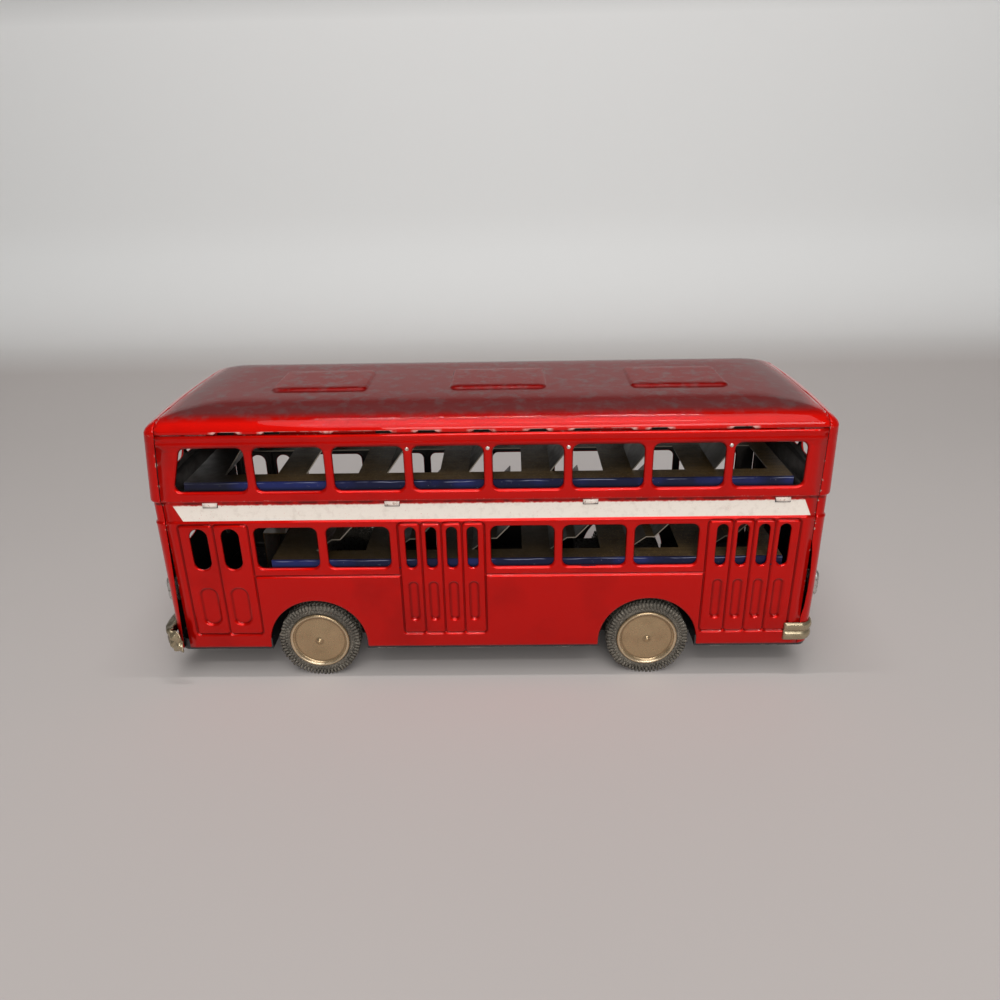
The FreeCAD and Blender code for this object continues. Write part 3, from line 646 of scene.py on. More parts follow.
def roof_panel(body):
    """Roof pressing: notched edge, rolled flank and flat top with three raised hatch panels."""
    stops = {-149.0, 152.0}
    for x0, x1 in ROOF_NOTCHES:
        stops |= {x0, x0 + NOTCH_BEVEL, x1 - NOTCH_BEVEL, x1}
    xs = sorted(stops)
    fine = []
    for a, b in zip(xs, xs[1:]):
        fine += list(np.linspace(a, b, max(1, round((b - a) / 4)) + 1)[:-1])
    xs = fine + [xs[-1]]
    low = EAVES_Z + SEAM / 2
    rings = [(low, 0.3), (low + 0.25, 0.08), (low + NOTCH_RISE, 0.0), (low + NOTCH_RISE + 0.45, 0.0)]
    rings += [(EAVES_Z + w, 0.0) for w in ROOF_STEPS]
    verts, faces = [], []
    count = len(roof_ring(low, xs))
    for w, inset in rings:
        verts += roof_ring(w, xs, inset)
    for k in range(len(rings) - 1):
        for i in range(count):
            j = (i + 1) % count
            a, b = verts[k * count + i], verts[k * count + j]
            middle = (a[0] + b[0]) / 2
            flank = abs(abs(a[1]) - abs(b[1])) < 0.01 and abs(a[1]) > FLANK_Y
            notch = next((notch for notch in ROOF_NOTCHES if notch[0] < middle < notch[1]), None)
            if k < 2 and flank and notch:
                rising = middle < notch[0] + NOTCH_BEVEL
                if k == 1 and (rising or middle > notch[1] - NOTCH_BEVEL):
                    up, down = (k + 1) * count, k * count
                    outer = i if (a[0] < b[0]) == rising else j
                    inner = j if outer == i else i
                    faces.append((down + outer, up + inner, up + outer))
                continue
            faces.append((k * count + i, k * count + j, (k + 1) * count + j, (k + 1) * count + i))
    shell = new_object("roof_flank", verts, faces)
    # Marks for a pale line along the notch edges, worn and a painted highlight; the hatch slopes get a weaker
    # share below.
    wear_and_highlight = [0.0] * len(verts)
    for k in range(3):
        for i in range(count):
            x, y = verts[k * count + i][:2]
            if abs(y) > FLANK_Y and any(x0 - 0.01 <= x <= x1 + 0.01 for x0, x1 in ROOF_NOTCHES):
                ends = any(abs(x - stop) < 0.01 for notch in ROOF_NOTCHES for stop in notch)
                wear_and_highlight[k * count + i] = 1.0 if k == 2 or ends else 0.0
    note(shell, "wear_and_highlight", wear_and_highlight)
    top = Pressing([(p[0], p[1]) for p in verts[-count:]], ((-200.0, 0.0), (200.0, 0.0)))
    for x in HATCH_X:
        hatch = centred(x, HATCH_LENGTH, -HATCH_WIDTH / 2, HATCH_WIDTH / 2)
        top.form(hatch, HATCH_RADIUS, RAISED, -HATCH_RISE)
    top.points += [(x, y) for x in np.arange(-112, 113, 8.0) for y in (-22.0, -12.0, -4.0, 4.0, 12.0, 22.0)]
    spots, depth, tris = top.surface()
    rise = [CROWN_RISE * (1 - (y / 26.0) ** 2) * max(1 - (x / 122.0) ** 2, 0) ** 2 for x, y in spots]
    crown = [EAVES_Z + ROOF_RISE + up - d for up, d in zip(rise, depth)]
    flat = new_object("roof_top", [(x, y, z) for (x, y), z in zip(spots, crown)], tris)
    share = top.pressed(spots) / -HATCH_RISE
    note(flat, "wear_and_highlight", 0.3 * (4 * share * (1 - share)))
    outward(flat, Vector((0, 0, 1)))
    outward(shell, Vector((0, 0, 1)))
    whole = joined("roof_pressing", [shell, flat])
    work = bmesh.new()
    work.from_mesh(whole.data)
    bmesh.ops.remove_doubles(work, verts=work.verts, dist=0.004 * MM)
    for end in ENDS:
        cut_at_seam(work, end, SEAM / 2, clear_outer=True)
    bmesh.ops.recalc_face_normals(work, faces=work.faces)
    work.to_mesh(whole.data)
    work.free()
    whole.data.shade_smooth()
    outward(whole, Vector((0, 0, 1)))
    return thickened(whole, body.sheet)


def strips(name, side, spans, line):
    """Strips along a side, one for each span, with a section as in FLANGE_LINE."""
    sign = SIDES[side]
    verts, faces = [], []
    for span in spans:
        first = len(verts)
        verts += [(x, sign * (HALF_WIDTH - inward), EAVES_Z + up) for x in span for inward, up in line]
        faces += [tuple(first + i for i in face) for face in grid_faces(2, len(line))]
    return outward(new_object(f"{side}_{name}", verts, faces), Vector((0, sign, 0)))


def eaves_flange(side):
    """The side's turned-in top flange, seen through the notches of the roof's edge."""
    edges = [-146.5] + [x for slot in ROOF_SLOTS for x in slot] + [150.0]
    obj = strips("eaves_flange", side, zip(edges[::2], edges[1::2]), FLANGE_LINE)
    note(obj, "crease", [FLANGE_SHADE] * len(obj.data.vertices))
    return thickened(obj, EAVES_SHEET)


def eaves_shade_tabs(side):
    """Tabs of the roof's edge, folded in behind its open slots, in the near-black inner finish that puts
    painted shade behind the slots.
    """
    spans = [(x0 - TAB_OVERLAP, x1 + TAB_OVERLAP) for x0, x1 in ROOF_SLOTS]
    return thickened(strips("eaves_shade_tabs", side, spans, TAB_LINE), EAVES_SHEET)


# ---- Bumpers and lamps ---------------------------------------------------------------------------
BUMPER_Z = (19.4, 29.4)
BUMPER_WRAP = 7.5
BUMPER_RIB = 1.6
BUMPER_SHEET = 0.7 * MM
BENT_FROM = END_HALF + END_CORNER * 0.3
BENT_LENGTH = 11.8
SPRUNG = 4.6                # how far the front bumper's left end has pulled away from the panel
CURL = math.radians(60)     # its tip turns back by this
CURL_FROM, CURL_OVER = 6.0, 3.6


def bumper_reach(v):
    """Reach of the two pressed ribs past the panel, v from 0 at the foot to 1 at the top."""
    hump = abs(math.sin(2 * math.pi * v)) ** 0.75
    edge = min(v, 1 - v) / 0.06
    return 0.25 + 0.35 * min(edge, 1.0) + (BUMPER_RIB - 0.6) * hump


def curled_top(v):
    """How far the front bumper's top edge curls in behind its upper rib, where it has sprung off."""
    return (SPRUNG - 0.6) * eased(clamped((v - 0.86) / 0.14))


def bent_end(ahead, v):
    """Point of the front bumper's broken left end, which stands out past the corner and curls back."""
    ahead -= 2.2 * max(1 - min(v, 1 - v) / 0.22, 0.0) ** 2 * (ahead / BENT_LENGTH) ** 2
    x, y, _, nx, ny = plan_spot(-BENT_FROM, 50.0, "front")
    start = math.atan2(nx, -ny)
    steps = 12
    for k in range(steps):
        along = (k + 0.5) / steps * ahead
        turn = start + CURL * clamped((along - CURL_FROM) / CURL_OVER)
        x += math.cos(turn) * ahead / steps
        y += math.sin(turn) * ahead / steps
    nx, ny = math.sin(turn), -math.cos(turn)
    tail = ahead / BENT_LENGTH
    share = clamped((ahead - 3.0) / 3.0)
    low = 1 - v
    z = BUMPER_Z[0] + v * (BUMPER_Z[1] - BUMPER_Z[0])
    reach = 0.05 + bumper_reach(v) * (1 + 0.5 * tail) - LOWER_INSET
    reach += share * (0.5 * math.sin(7.0 * v + 1.1 * ahead) + 0.35 * math.sin(1.9 * ahead - 11.0 * v))
    reach -= (1 - min(ahead / 6.0, 1.0)) * curled_top(v)
    return (x + nx * reach + 1.2 * share + 1.4 * low * tail, y + ny * reach,
            z + tail * (0.7 - 3.0 * low) + 0.25 * share * math.sin(1.7 * ahead + 3 * v))


def bumper(end):
    far = END_REACH + BUMPER_WRAP
    near = far if end == "rear" else BENT_FROM + BENT_LENGTH
    path = list(np.linspace(-near, -END_HALF, 40)) + list(np.linspace(-END_HALF, END_HALF, 26)[1:-1])
    path += list(np.linspace(END_HALF, far, 28))
    across = np.linspace(0, 1, 33)
    verts = []
    for s in path:
        ahead = -s - BENT_FROM
        tip = 1.0
        for stop in ((far + s, far - s) if end == "rear" else (far - s,)):
            tip = min(tip, math.sqrt(max(1 - (1 - min(stop / 1.8, 1.0)) ** 2, 0.0)))
        for v in across:
            x, y, _, nx, ny = plan_spot(s, 50.0, end)
            z = BUMPER_Z[0] + v * (BUMPER_Z[1] - BUMPER_Z[0])
            squeeze = 1 - 0.12 * (1 - tip)
            z = 24.4 + (z - 24.4) * squeeze
            reach = 0.05 + bumper_reach(v) * tip - LOWER_INSET
            spot = (x + nx * reach, y + ny * reach, z)
            if end == "front":
                if ahead > 0:
                    spot = bent_end(ahead, v)
                away = eased(clamped((-s - 18.0) / 24.0))
                curl = curled_top(v) * away if ahead <= 0 else 0.0
                spot = (spot[0] - SPRUNG * away + curl, *spot[1:])
            verts.append(spot)
    skin = new_object(f"{end}_bumper_pressing", verts, grid_faces(len(path), len(across)))
    return thickened(outward(skin, Vector((ENDS[end], 0, 0))), BUMPER_SHEET)


def loft(name, rings):
    """Closed skin over rings of equally many points, with a face on the first and the last."""
    verts = [p for loop in rings for p in loop]
    n = len(rings[0])
    faces = grid_faces(len(rings), n, columns_close=True)
    faces += [tuple(range(len(verts) - n, len(verts))), tuple(range(n))[::-1]]
    return welded(new_object(name, verts, faces))


LAMP_Z = (38.0, 51.5)
LAMP_Y = 38.0
LAMP_HALF = 3.5
LENS_RADIUS = 2.35
LENS_SET_IN = 4.05          # a lens's centre from the lamp's top or foot
# The bezel's roll: outward from the lamp's outline, forward of the panel.
BEZEL_STEPS = ((0.0, -1.2), (0.0, 2.6), (-0.25, 3.3), (-0.7, 3.65), (-1.1, 3.5), (-1.35, 3.0), (-1.4, 2.4))


def lamp(end, side):
    """Upright oblong lamp: rolled bezel, sunk back plate and two domed lenses."""
    z0, z1 = LAMP_Z
    y = SIDES[side] * LAMP_Y
    face = abs(plan_spot(y, 45.0, end)[0]) - LOWER_INSET
    out = ENDS[end]
    outline = centred(y, 2 * LAMP_HALF, z0, z1)
    rings = [[(out * (face + reach), *spot) for spot in ring(outline, LAMP_HALF - 0.1, grow, 12)]
             for grow, reach in BEZEL_STEPS]
    bezel = loft(f"{end}_{side}_lamp_bezel", rings)
    lenses = []
    for z in (z0 + LENS_SET_IN, z1 - LENS_SET_IN):
        dome = []
        for k in range(9):
            angle = math.pi / 2 * k / 8
            radius, reach = LENS_RADIUS * math.cos(angle) + 0.02, 2.35 + 1.3 * math.sin(angle)
            dome.append([(out * (face + reach), y + radius * math.cos(a), z + radius * math.sin(a))
                         for a in np.linspace(0, 2 * math.pi, 32, endpoint=False)])
        lenses.append(loft(f"lens_{z:.0f}", dome))
    return bezel, joined(f"{end}_{side}_lamp_lenses", lenses)


# ---- Wheels ----------------------------------------------------------------------------------------
TYRE_PROFILE = ((13.5, -4.7), (14.6, -4.75), (16.2, -4.7), (17.6, -4.3), (18.6, -3.6), (19.05, -2.8),
                (19.2, -1.0), (19.2, 1.0), (19.05, 2.8), (18.6, 3.5), (17.8, 4.05), (17.0, 4.3),
                (16.2, 4.5), (15.7, 4.55), (15.3, 4.3), (15.05, 3.9), (14.4, 3.8), (13.5, 3.8),
                (13.4, 3.7), (13.4, -4.6), (13.5, -4.7))
# Rows of ribs: place across the tyre, radius, length across, slant, height, width, turn in half pitches.
TREAD_ROWS = ((4.0, 18.55, 2.3, 0.0, 2.75, 0.98, 0.0), (4.25, 16.75, 1.5, 0.0, 1.35, 0.7, 1.0),
              (0.9, 19.25, 3.6, 0.35, 1.2, 0.95, 0.5), (-2.4, 19.2, 3.4, -0.35, 1.2, 0.95, 1.5),
              (-4.0, 18.5, 1.8, 0.0, 2.6, 0.98, 0.0))
DISC_PROFILE = ((0.0, 6.3), (0.35, 6.22), (0.7, 5.9), (1.1, 5.5), (1.7, 5.2), (2.5, 5.0), (3.4, 4.85),
                (5.0, 4.65), (8.0, 4.28), (11.0, 3.9), (12.4, 3.72), (12.9, 3.8), (13.2, 4.2),
                (13.4, 4.85), (13.65, 5.2), (14.0, 5.35), (14.4, 5.3), (14.7, 5.05), (14.85, 4.7),
                (14.83, 4.35), (14.6, 4.15), (14.0, 4.05), (13.6, 3.65), (13.0, 3.5), (3.0, 4.2),
                (0.0, 4.6))


def geometry_tree(name, inputs):
    """Empty geometry tree with a mesh in and out and named inputs, what it is given, and its output node."""
    tree = bpy.data.node_groups.new(name, "GeometryNodeTree")
    tree.interface.new_socket("Geometry", in_out="INPUT", socket_type="NodeSocketGeometry")
    tree.interface.new_socket("Geometry", in_out="OUTPUT", socket_type="NodeSocketGeometry")
    for label, kind, value in inputs:
        item = tree.interface.new_socket(label, in_out="INPUT", socket_type="NodeSocket" + kind)
        item.default_value = value
    return tree, tree.nodes.new("NodeGroupInput").outputs, tree.nodes.new("NodeGroupOutput")


def put(tree, kind, **settings):
    """Add a node; settings name its properties, or its inputs where it has no such property."""
    node = tree.nodes.new(kind)
    links = []
    for key, value in settings.items():
        if hasattr(node, key) and not isinstance(value, bpy.types.NodeSocket):
            setattr(node, key, value)
            continue
        label = key.replace("_", " ")
        index = int(key[1:]) if key[0] == "i" and key[1:].isdigit() else None
        links.append((index if index is not None else label, value))
    for label, value in links:
        socket = node.inputs[label]
        if isinstance(value, bpy.types.NodeSocket):
            tree.links.new(value, socket)
        else:
            socket.default_value = value
    return node


def finish_tree(tree, geometry, group_out, material):
    """End a tree in Realize Instances and Set Material."""
    real = put(tree, "GeometryNodeRealizeInstances")
    tree.links.new(geometry, real.inputs["Geometry"])
    paint = put(tree, "GeometryNodeSetMaterial")
    tree.links.new(real.outputs["Geometry"], paint.inputs["Geometry"])
    paint.inputs["Material"].default_value = material
    tree.links.new(paint.outputs["Geometry"], group_out.inputs["Geometry"])
    return tree


def grown(name, seed_points, tree, values):
    """Run a geometry tree over points and keep the result as a plain mesh."""
    obj = new_object(name, seed_points, [])
    modifier = obj.modifiers.new(tree.name, "NODES")
    modifier.node_group = tree
    sockets = {item.name: item.identifier for item in tree.interface.items_tree if item.in_out == "INPUT"}
    for label, value in values.items():
        modifier[sockets[label]] = value
    baked(obj)
    obj.data.validate()
    return obj


def rib_tree(material):
    """One row of ribs round a tyre, each a little different in size."""
    tree, given, out = geometry_tree("Tread ribs", (
        ("Count", "Int", 60), ("Radius", "Float", 0.02), ("Length", "Float", 0.004),
        ("Width", "Float", 0.0008), ("Height", "Float", 0.0008), ("Slant", "Float", 0.0),
        ("Across", "Float", 0.0), ("Turn", "Float", 0.0), ("Centre", "Vector", (0, 0, 0)),
        ("Seed", "Int", 1)))
    circle = put(tree, "GeometryNodeMeshCircle", Vertices=given["Count"], Radius=given["Radius"])
    size = put(tree, "ShaderNodeCombineXYZ", X=given["Height"], Y=given["Width"],
               Z=given["Length"])
    rib = put(tree, "GeometryNodeMeshCube", Size=size.outputs[0])
    index = put(tree, "GeometryNodeInputIndex")
    step = put(tree, "ShaderNodeMath", operation="DIVIDE", i0=2 * math.pi, i1=given["Count"])
    angle = put(tree, "ShaderNodeMath", operation="MULTIPLY", i0=index.outputs[0], i1=step.outputs[0])
    spin = put(tree, "ShaderNodeCombineXYZ", X=given["Slant"], Z=angle.outputs[0])
    vary = put(tree, "FunctionNodeRandomValue", data_type="FLOAT_VECTOR", Seed=given["Seed"])
    vary.inputs[0].default_value = (0.7, 0.8, 0.9)
    vary.inputs[1].default_value = (1.15, 1.15, 1.05)
    ribs = put(tree, "GeometryNodeInstanceOnPoints", Points=circle.outputs["Mesh"],
               Instance=rib.outputs["Mesh"], Rotation=spin.outputs[0], Scale=vary.outputs[0])
    shift = put(tree, "ShaderNodeCombineXYZ", Z=given["Across"])
    turn = put(tree, "ShaderNodeCombineXYZ", Z=given["Turn"])
    slid = put(tree, "GeometryNodeTransform", Geometry=ribs.outputs[0], Translation=shift.outputs[0],
               Rotation=turn.outputs[0])
    stood = put(tree, "GeometryNodeTransform", Geometry=slid.outputs[0], Translation=given["Centre"])
    stood.inputs["Rotation"].default_value = (math.pi / 2, 0, 0)
    return finish_tree(tree, stood.outputs[0], out, material)


def tyre(end, side, wheels, rubber, ribs):
    x, sign = AXLE_X[end], SIDES[side]
    body = lathe(f"{end}_{side}_tyre_body", TYRE_PROFILE, x, sign, 120)
    body.data.materials.append(rubber)
    rows = []
    for row, (across, radius, length, slant, height, width, turn) in enumerate(TREAD_ROWS):
        rows.append(grown(f"rows_{row}", [(0, 0, 0)], ribs, {
            "Count": wheels.tread_ribs, "Radius": radius * MM, "Length": length * MM, "Width": width * MM,
            "Height": height * MM, "Slant": slant * sign, "Across": -across * sign * MM,
            "Turn": turn * math.pi / wheels.tread_ribs, "Centre": Vector((x, sign * WHEEL_Y, AXLE_Z)) * MM,
            "Seed": 7 + row}))
    obj = joined(f"{end}_{side}_tread_tyre", [body] + rows)
    obj.data.materials.append(rubber)
    return obj


def wheel_disc(end, side):
    return lathe(f"{end}_{side}_disc", DISC_PROFILE, AXLE_X[end], SIDES[side], 112)


# ---- Tabs and rivets -----------------------------------------------------------------------------
TAB_X = (-128.3, -44.0, 47.1, 134.7)
RIVET_X = (-35.4, 0.6, 36.6, 108.6)
RIVET_Z = 121.5
PLATE_TABS = (-138.0, -52.0, -8.0, 36.0, 112.0, 142.0)
PLATE_TAB_Y, PLATE_TAB_Z = 47.6, 15.7
TAB_HALF = 3.45
TAB_SHEET = 0.3 * MM
# A deck tab's sections: outward from the band's face, height, share of the full width.
TAB_SECTIONS = ((-1.2, 95.75, 1.0), (0.15, 95.8, 1.0), (0.62, 95.6, 0.99), (0.82, 95.1, 0.97),
                (0.85, 94.4, 0.95), (0.7, 93.75, 0.9), (0.3, 93.6, 0.88))


def deck_tabs():
    """The upper deck's tabs, pushed out through the band and folded down on it."""
    tabs = []
    for k, (sign, x) in enumerate((sign, x) for sign in SIDES.values() for x in TAB_X):
        verts = []
        for out, z, width in TAB_SECTIONS:
            half = TAB_HALF * width
            reach = HALF_WIDTH - BAND_INSET + out
            tilt = 0.25 * math.sin(2.1 * k + out) * 0.4
            verts += [(x - half, sign * reach, z + tilt), (x, sign * (reach + 0.06), z),
                      (x + half, sign * reach, z - tilt)]
        tab = new_object(f"tab_{k}", verts, grid_faces(len(TAB_SECTIONS), 3))
        tabs.append(outward(tab, Vector((0, sign, 0))))
    return thickened(joined("deck_tabs", tabs), TAB_SHEET)


def rivet_tree(material):
    """Domed rivet heads, on points."""
    tree, given, out = geometry_tree("Rivets", (("Radius", "Float", 0.0009), ("Rise", "Float", 0.4),))
    ball = put(tree, "GeometryNodeMeshUVSphere", Segments=20, Rings=10, Radius=given["Radius"])
    flat = put(tree, "ShaderNodeCombineXYZ", X=1.0, Y=given["Rise"], Z=1.0)
    heads = put(tree, "GeometryNodeInstanceOnPoints", Points=given["Geometry"],
                Instance=ball.outputs["Mesh"], Scale=flat.outputs[0])
    return finish_tree(tree, heads.outputs[0], out, material)


def tongue_tree(material):
    """Folded fixing tongues under the base plate, on points."""
    tree, given, out = geometry_tree("Fixing tongues", (("Length", "Float", 0.007), ("Width", "Float", 0.004),
                                                       ("Thickness", "Float", 0.0004)))
    size = put(tree, "ShaderNodeCombineXYZ", X=given["Length"], Y=given["Width"],
               Z=given["Thickness"])
    plate = put(tree, "GeometryNodeMeshCube", Size=size.outputs[0])
    set_on = put(tree, "GeometryNodeInstanceOnPoints", Points=given["Geometry"],
                 Instance=plate.outputs["Mesh"])
    return finish_tree(tree, set_on.outputs[0], out, material)


# ---- Finishes ------------------------------------------------------------------------------------
def shader_group(name, inputs, output):
    """Empty shader group with named float inputs and one output, what it is given, and its output node."""
    tree = bpy.data.node_groups.new(name, "ShaderNodeTree")
    for label, value in inputs:
        item = tree.interface.new_socket(label, in_out="INPUT", socket_type="NodeSocketFloat")
        item.default_value = value
    tree.interface.new_socket(output, in_out="OUTPUT", socket_type="NodeSocketFloat")
    return tree, tree.nodes.new("NodeGroupInput").outputs, tree.nodes.new("NodeGroupOutput")


def speckle_group():
    """Irregular specks: chips, pits, dust and rust, by their number per metre and how much they cover."""
    tree, given, out = shader_group("Speckle", (("Scale", 800.0), ("Cover", 0.3), ("Softness", 0.08)), "Mask")
    place = put(tree, "ShaderNodeTexCoord")
    specks = put(tree, "ShaderNodeTexNoise", Vector=place.outputs["Object"], Scale=given["Scale"],
                 Detail=4.0, Roughness=0.62)
    start = put(tree, "ShaderNodeMath", operation="SUBTRACT", i0=0.78, i1=given["Cover"])
    stop = put(tree, "ShaderNodeMath", operation="ADD", i0=start.outputs[0], i1=given["Softness"])
    mask = put(tree, "ShaderNodeMapRange", Value=specks.outputs["Fac"], From_Min=start.outputs[0],
               From_Max=stop.outputs[0])
    tree.links.new(mask.outputs[0], out.inputs["Mask"])
    return tree


def tin_waves_group():
    """Soft unevenness of hand-pressed sheet, with a fine orange peel of lacquer on it."""
    tree, given, out = shader_group("Tin waves", (("Waves", 22.0), ("Wave depth", 1.0), ("Peel", 600.0),
                                                 ("Peel depth", 0.03)), "Height")
    place = put(tree, "ShaderNodeTexCoord")
    waves = put(tree, "ShaderNodeTexNoise", Vector=place.outputs["Object"], Scale=given["Waves"], Detail=1.0)
    peel = put(tree, "ShaderNodeTexNoise", Vector=place.outputs["Object"], Scale=given["Peel"], Detail=2.0)
    large = put(tree, "ShaderNodeMath", operation="MULTIPLY", i0=waves.outputs["Fac"], i1=given["Wave depth"])
    small = put(tree, "ShaderNodeMath", operation="MULTIPLY", i0=peel.outputs["Fac"], i1=given["Peel depth"])
    total = put(tree, "ShaderNodeMath", operation="ADD", i0=large.outputs[0], i1=small.outputs[0])
    tree.links.new(total.outputs[0], out.inputs["Height"])
    return tree


def shade(color, share):
    return [c * share for c in color]


class Finish:
    """A material being built: its tree, its shader and what feeds it. Lengths in millimetres."""
    groups = {}

    def __init__(self, name, color, **constants):
        self.material = bpy.data.materials.new(name)
        self.material.use_nodes = True
        self.tree = self.material.node_tree
        self.shader = self.tree.nodes["Principled BSDF"]
        self.place = put(self.tree, "ShaderNodeTexCoord").outputs["Object"]
        apart = put(self.tree, "ShaderNodeSeparateXYZ", Vector=self.place)
        self.x, self.y, self.z = [self.times(apart.outputs[i], 1000.0) for i in range(3)]
        self.color = None
        self.shader.inputs["Base Color"].default_value = (*color, 1)
        self.start = color
        for key, value in constants.items():
            self.shader.inputs[key.replace("_", " ")].default_value = value

    def math(self, operation, a, b=0.0):
        return put(self.tree, "ShaderNodeMath", operation=operation, i0=a, i1=b).outputs[0]

    def times(self, value, *others):
        for other in others:
            value = self.math("MULTIPLY", value, other)
        return value

    def plus(self, a, b):
        return self.math("ADD", a, b)

    def less(self, a, b):
        return self.math("SUBTRACT", a, b)

    def size(self, a):
        return self.math("ABSOLUTE", a)

    def stripes(self, value, per_mm):
        """Distance from the middle of each stripe's gap, from 0 to 0.5, across evenly spaced stripes."""
        return self.size(self.less(self.math("FRACT", self.times(value, per_mm)), 0.5))

    def noted(self, name):
        """A number that the piece keeps for each of its points."""
        return put(self.tree, "ShaderNodeAttribute", attribute_name=name).outputs["Fac"]

    def ramp(self, value, low, high, a=0.0, b=1.0):
        return put(self.tree, "ShaderNodeMapRange", Value=value, From_Min=low, From_Max=high, To_Min=a,
                   To_Max=b).outputs[0]

    def within(self, value, low, high, soft=0.15):
        """1 between low and high, 0 outside."""
        return self.times(self.ramp(value, low - soft, low + soft),
                          self.ramp(value, high + soft, high - soft))

    def noise(self, scale, detail=2.0, stretch=(1, 1, 1)):
        place = put(self.tree, "ShaderNodeMapping", Vector=self.place)
        place.inputs["Scale"].default_value = stretch
        noise = put(self.tree, "ShaderNodeTexNoise", Vector=place.outputs[0], Scale=scale, Detail=detail)
        return noise.outputs["Fac"]

    def group(self, name, **values):
        node = put(self.tree, "ShaderNodeGroup", node_tree=Finish.groups[name])
        for key, value in values.items():
            node.inputs[key.replace("_", " ")].default_value = value
        return node.outputs[0]

    def over(self, mask, color):
        """Lay a colour over what is there, by a mask."""
        blend = put(self.tree, "ShaderNodeMix", data_type="RGBA")
        self.tree.links.new(mask, blend.inputs[0])
        if self.color is None:
            blend.inputs[6].default_value = (*self.start, 1)
        else:
            self.tree.links.new(self.color, blend.inputs[6])
        blend.inputs[7].default_value = (*color, 1)
        self.color = blend.outputs[2]
        self.tree.links.new(self.color, self.shader.inputs["Base Color"])
        return self

    def feed(self, label, value):
        self.tree.links.new(value, self.shader.inputs[label])
        return self

    def bump(self, height, depth, strength=1.0):
        """Surface relief; depth in millimetres."""
        node = put(self.tree, "ShaderNodeBump", Height=height, Strength=strength, Distance=depth * MM)
        return self.feed("Normal", node.outputs["Normal"])


def red_lacquer(finish):
    """Glossy translucent red over tin, chipped along the seams, with the white band between the decks, and
    painted shade and painted highlights in its colour.
    """
    f = Finish("red_lacquer", finish.lacquer, Coat_Roughness=0.015, Coat_IOR=1.3, Specular_IOR_Level=0.0)
    away_x, away_y = f.size(f.x), f.size(f.y)
    dark = shade(finish.lacquer, 0.55)
    f.over(f.ramp(f.noise(34.0, 4.0), 0.52, 0.78, 0.0, 0.5), dark)
    # Painted shade: the lacquer darker towards the bottom.
    f.over(f.times(f.ramp(f.z, 60.0, 20.0), 0.3), dark)
    # Painted shade: the roof's top darker; dust specks lie on it below.
    crown = f.ramp(f.z, *CROWN_SHADE_AND_DUST)
    f.over(f.times(crown, 0.9), shade(finish.lacquer, 0.26))
    dust = f.group("Speckle", Scale=160.0, Cover=0.3, Softness=0.25)
    f.over(f.times(crown, dust, 0.7), (0.16, 0.1, 0.098))
    f.over(f.times(f.within(f.z, 136.2, 138.9, 0.8), 0.55), (0.11, 0.05, 0.05))
    # Painted highlight, with wear, along the roof's notch edges and hatch slopes.
    edge_line = f.noted("wear_and_highlight")
    wear_and_highlight = f.times(f.ramp(edge_line, 0.35, 0.8), f.ramp(f.noise(420.0, 3.0), 0.36, 0.52))
    f.over(f.times(wear_and_highlight, 0.85), (0.85, 0.5, 0.44))
    # Painted shade, with dirt, in the pressed hollows and on the eaves flange.
    crease = f.noted("crease")
    f.over(f.ramp(crease, 0.1, 1.0, 0.0, 0.75), shade(finish.lacquer, 0.22))
    wander = f.times(f.less(f.noise(500.0, 4.0), 0.5), 1.2)
    slant = f.times(f.less(f.z, 90.4), 0.45)
    along = f.plus(f.x, slant)
    band = f.within(along, -144.0, 146.6, 0.12)
    band = f.times(band, f.within(f.z, *BAND_PRINT, 0.1))
    band = f.times(band, f.ramp(away_y, 49.0, 49.4))
    worn = f.ramp(f.plus(f.z, wander), 94.7, 94.0)
    band = f.times(band, worn)
    specks = f.group("Speckle", Scale=1500.0, Cover=0.11, Softness=0.05)
    band = f.times(band, f.less(1.0, f.times(specks, 0.8)))
    f.over(band, finish.band)
    grime = f.times(f.group("Speckle", Scale=260.0, Cover=0.27, Softness=0.2), 0.18)
    f.over(f.times(grime, band), (0.25, 0.14, 0.08))
    # Painted shadow under the step's overhang, with dirt along it.
    under_step = f.times(f.within(f.z, 94.9, 96.1, 0.25), f.ramp(f.noise(160.0, 4.0), 0.34, 0.56))
    f.over(f.times(under_step, f.ramp(away_y, 49.0, 49.4), 0.75), (0.035, 0.01, 0.008))
    lean = f.times(f.ramp(f.z, WAIST_Z, EAVES_Z), f.ramp(f.x, 1.0, -1.0, 0.0, FRONT_RAKE))
    seam = f.within(f.plus(away_x, lean), HALF_SIDE - 0.45, HALF_SIDE + 0.7, 0.2)
    seam = f.times(seam, f.within(f.z, 40.0, 127.0, 5.0))
    rim = f.times(f.within(f.z, 96.3, 97.3, 0.15), f.ramp(away_y, 49.9, 50.3))
    eaves = f.within(f.z, 128.6, 129.4, 0.1)
    edge = f.math("MAXIMUM", seam, f.times(f.math("MAXIMUM", rim, eaves), 0.3))
    chips = f.times(f.group("Speckle", Scale=520.0, Cover=0.18, Softness=0.04), edge)
    f.over(chips, (0.62, 0.45, 0.38))
    bare = f.less(1.0, f.math("MAXIMUM", band, f.times(chips, 0.4)))
    roof = f.ramp(f.z, EAVES_Z - 0.4, EAVES_Z + 0.2)
    f.feed("Metallic", f.times(bare, f.less(0.55, f.times(roof, 0.3))))
    f.feed("Coat Weight", f.times(bare, f.less(1.0, f.times(crown, 0.45))))
    rough = f.ramp(f.noise(40.0, 3.0), 0.35, 0.7, 0.28, 0.36)
    duller = f.plus(f.times(band, 0.22), f.times(roof, 0.16))
    f.feed("Roughness", f.plus(rough, duller))
    waves = f.group("Tin waves", Waves=17.0, Wave_depth=1.0, Peel=120.0, Peel_depth=0.03)
    deeper = f.times(f.ramp(f.z, 121.0, 126.0, 0.7, 2.6), f.ramp(f.z, 134.0, 137.0, 1.0, 0.4))
    f.bump(f.times(waves, deeper), 1.3)
    return f.material


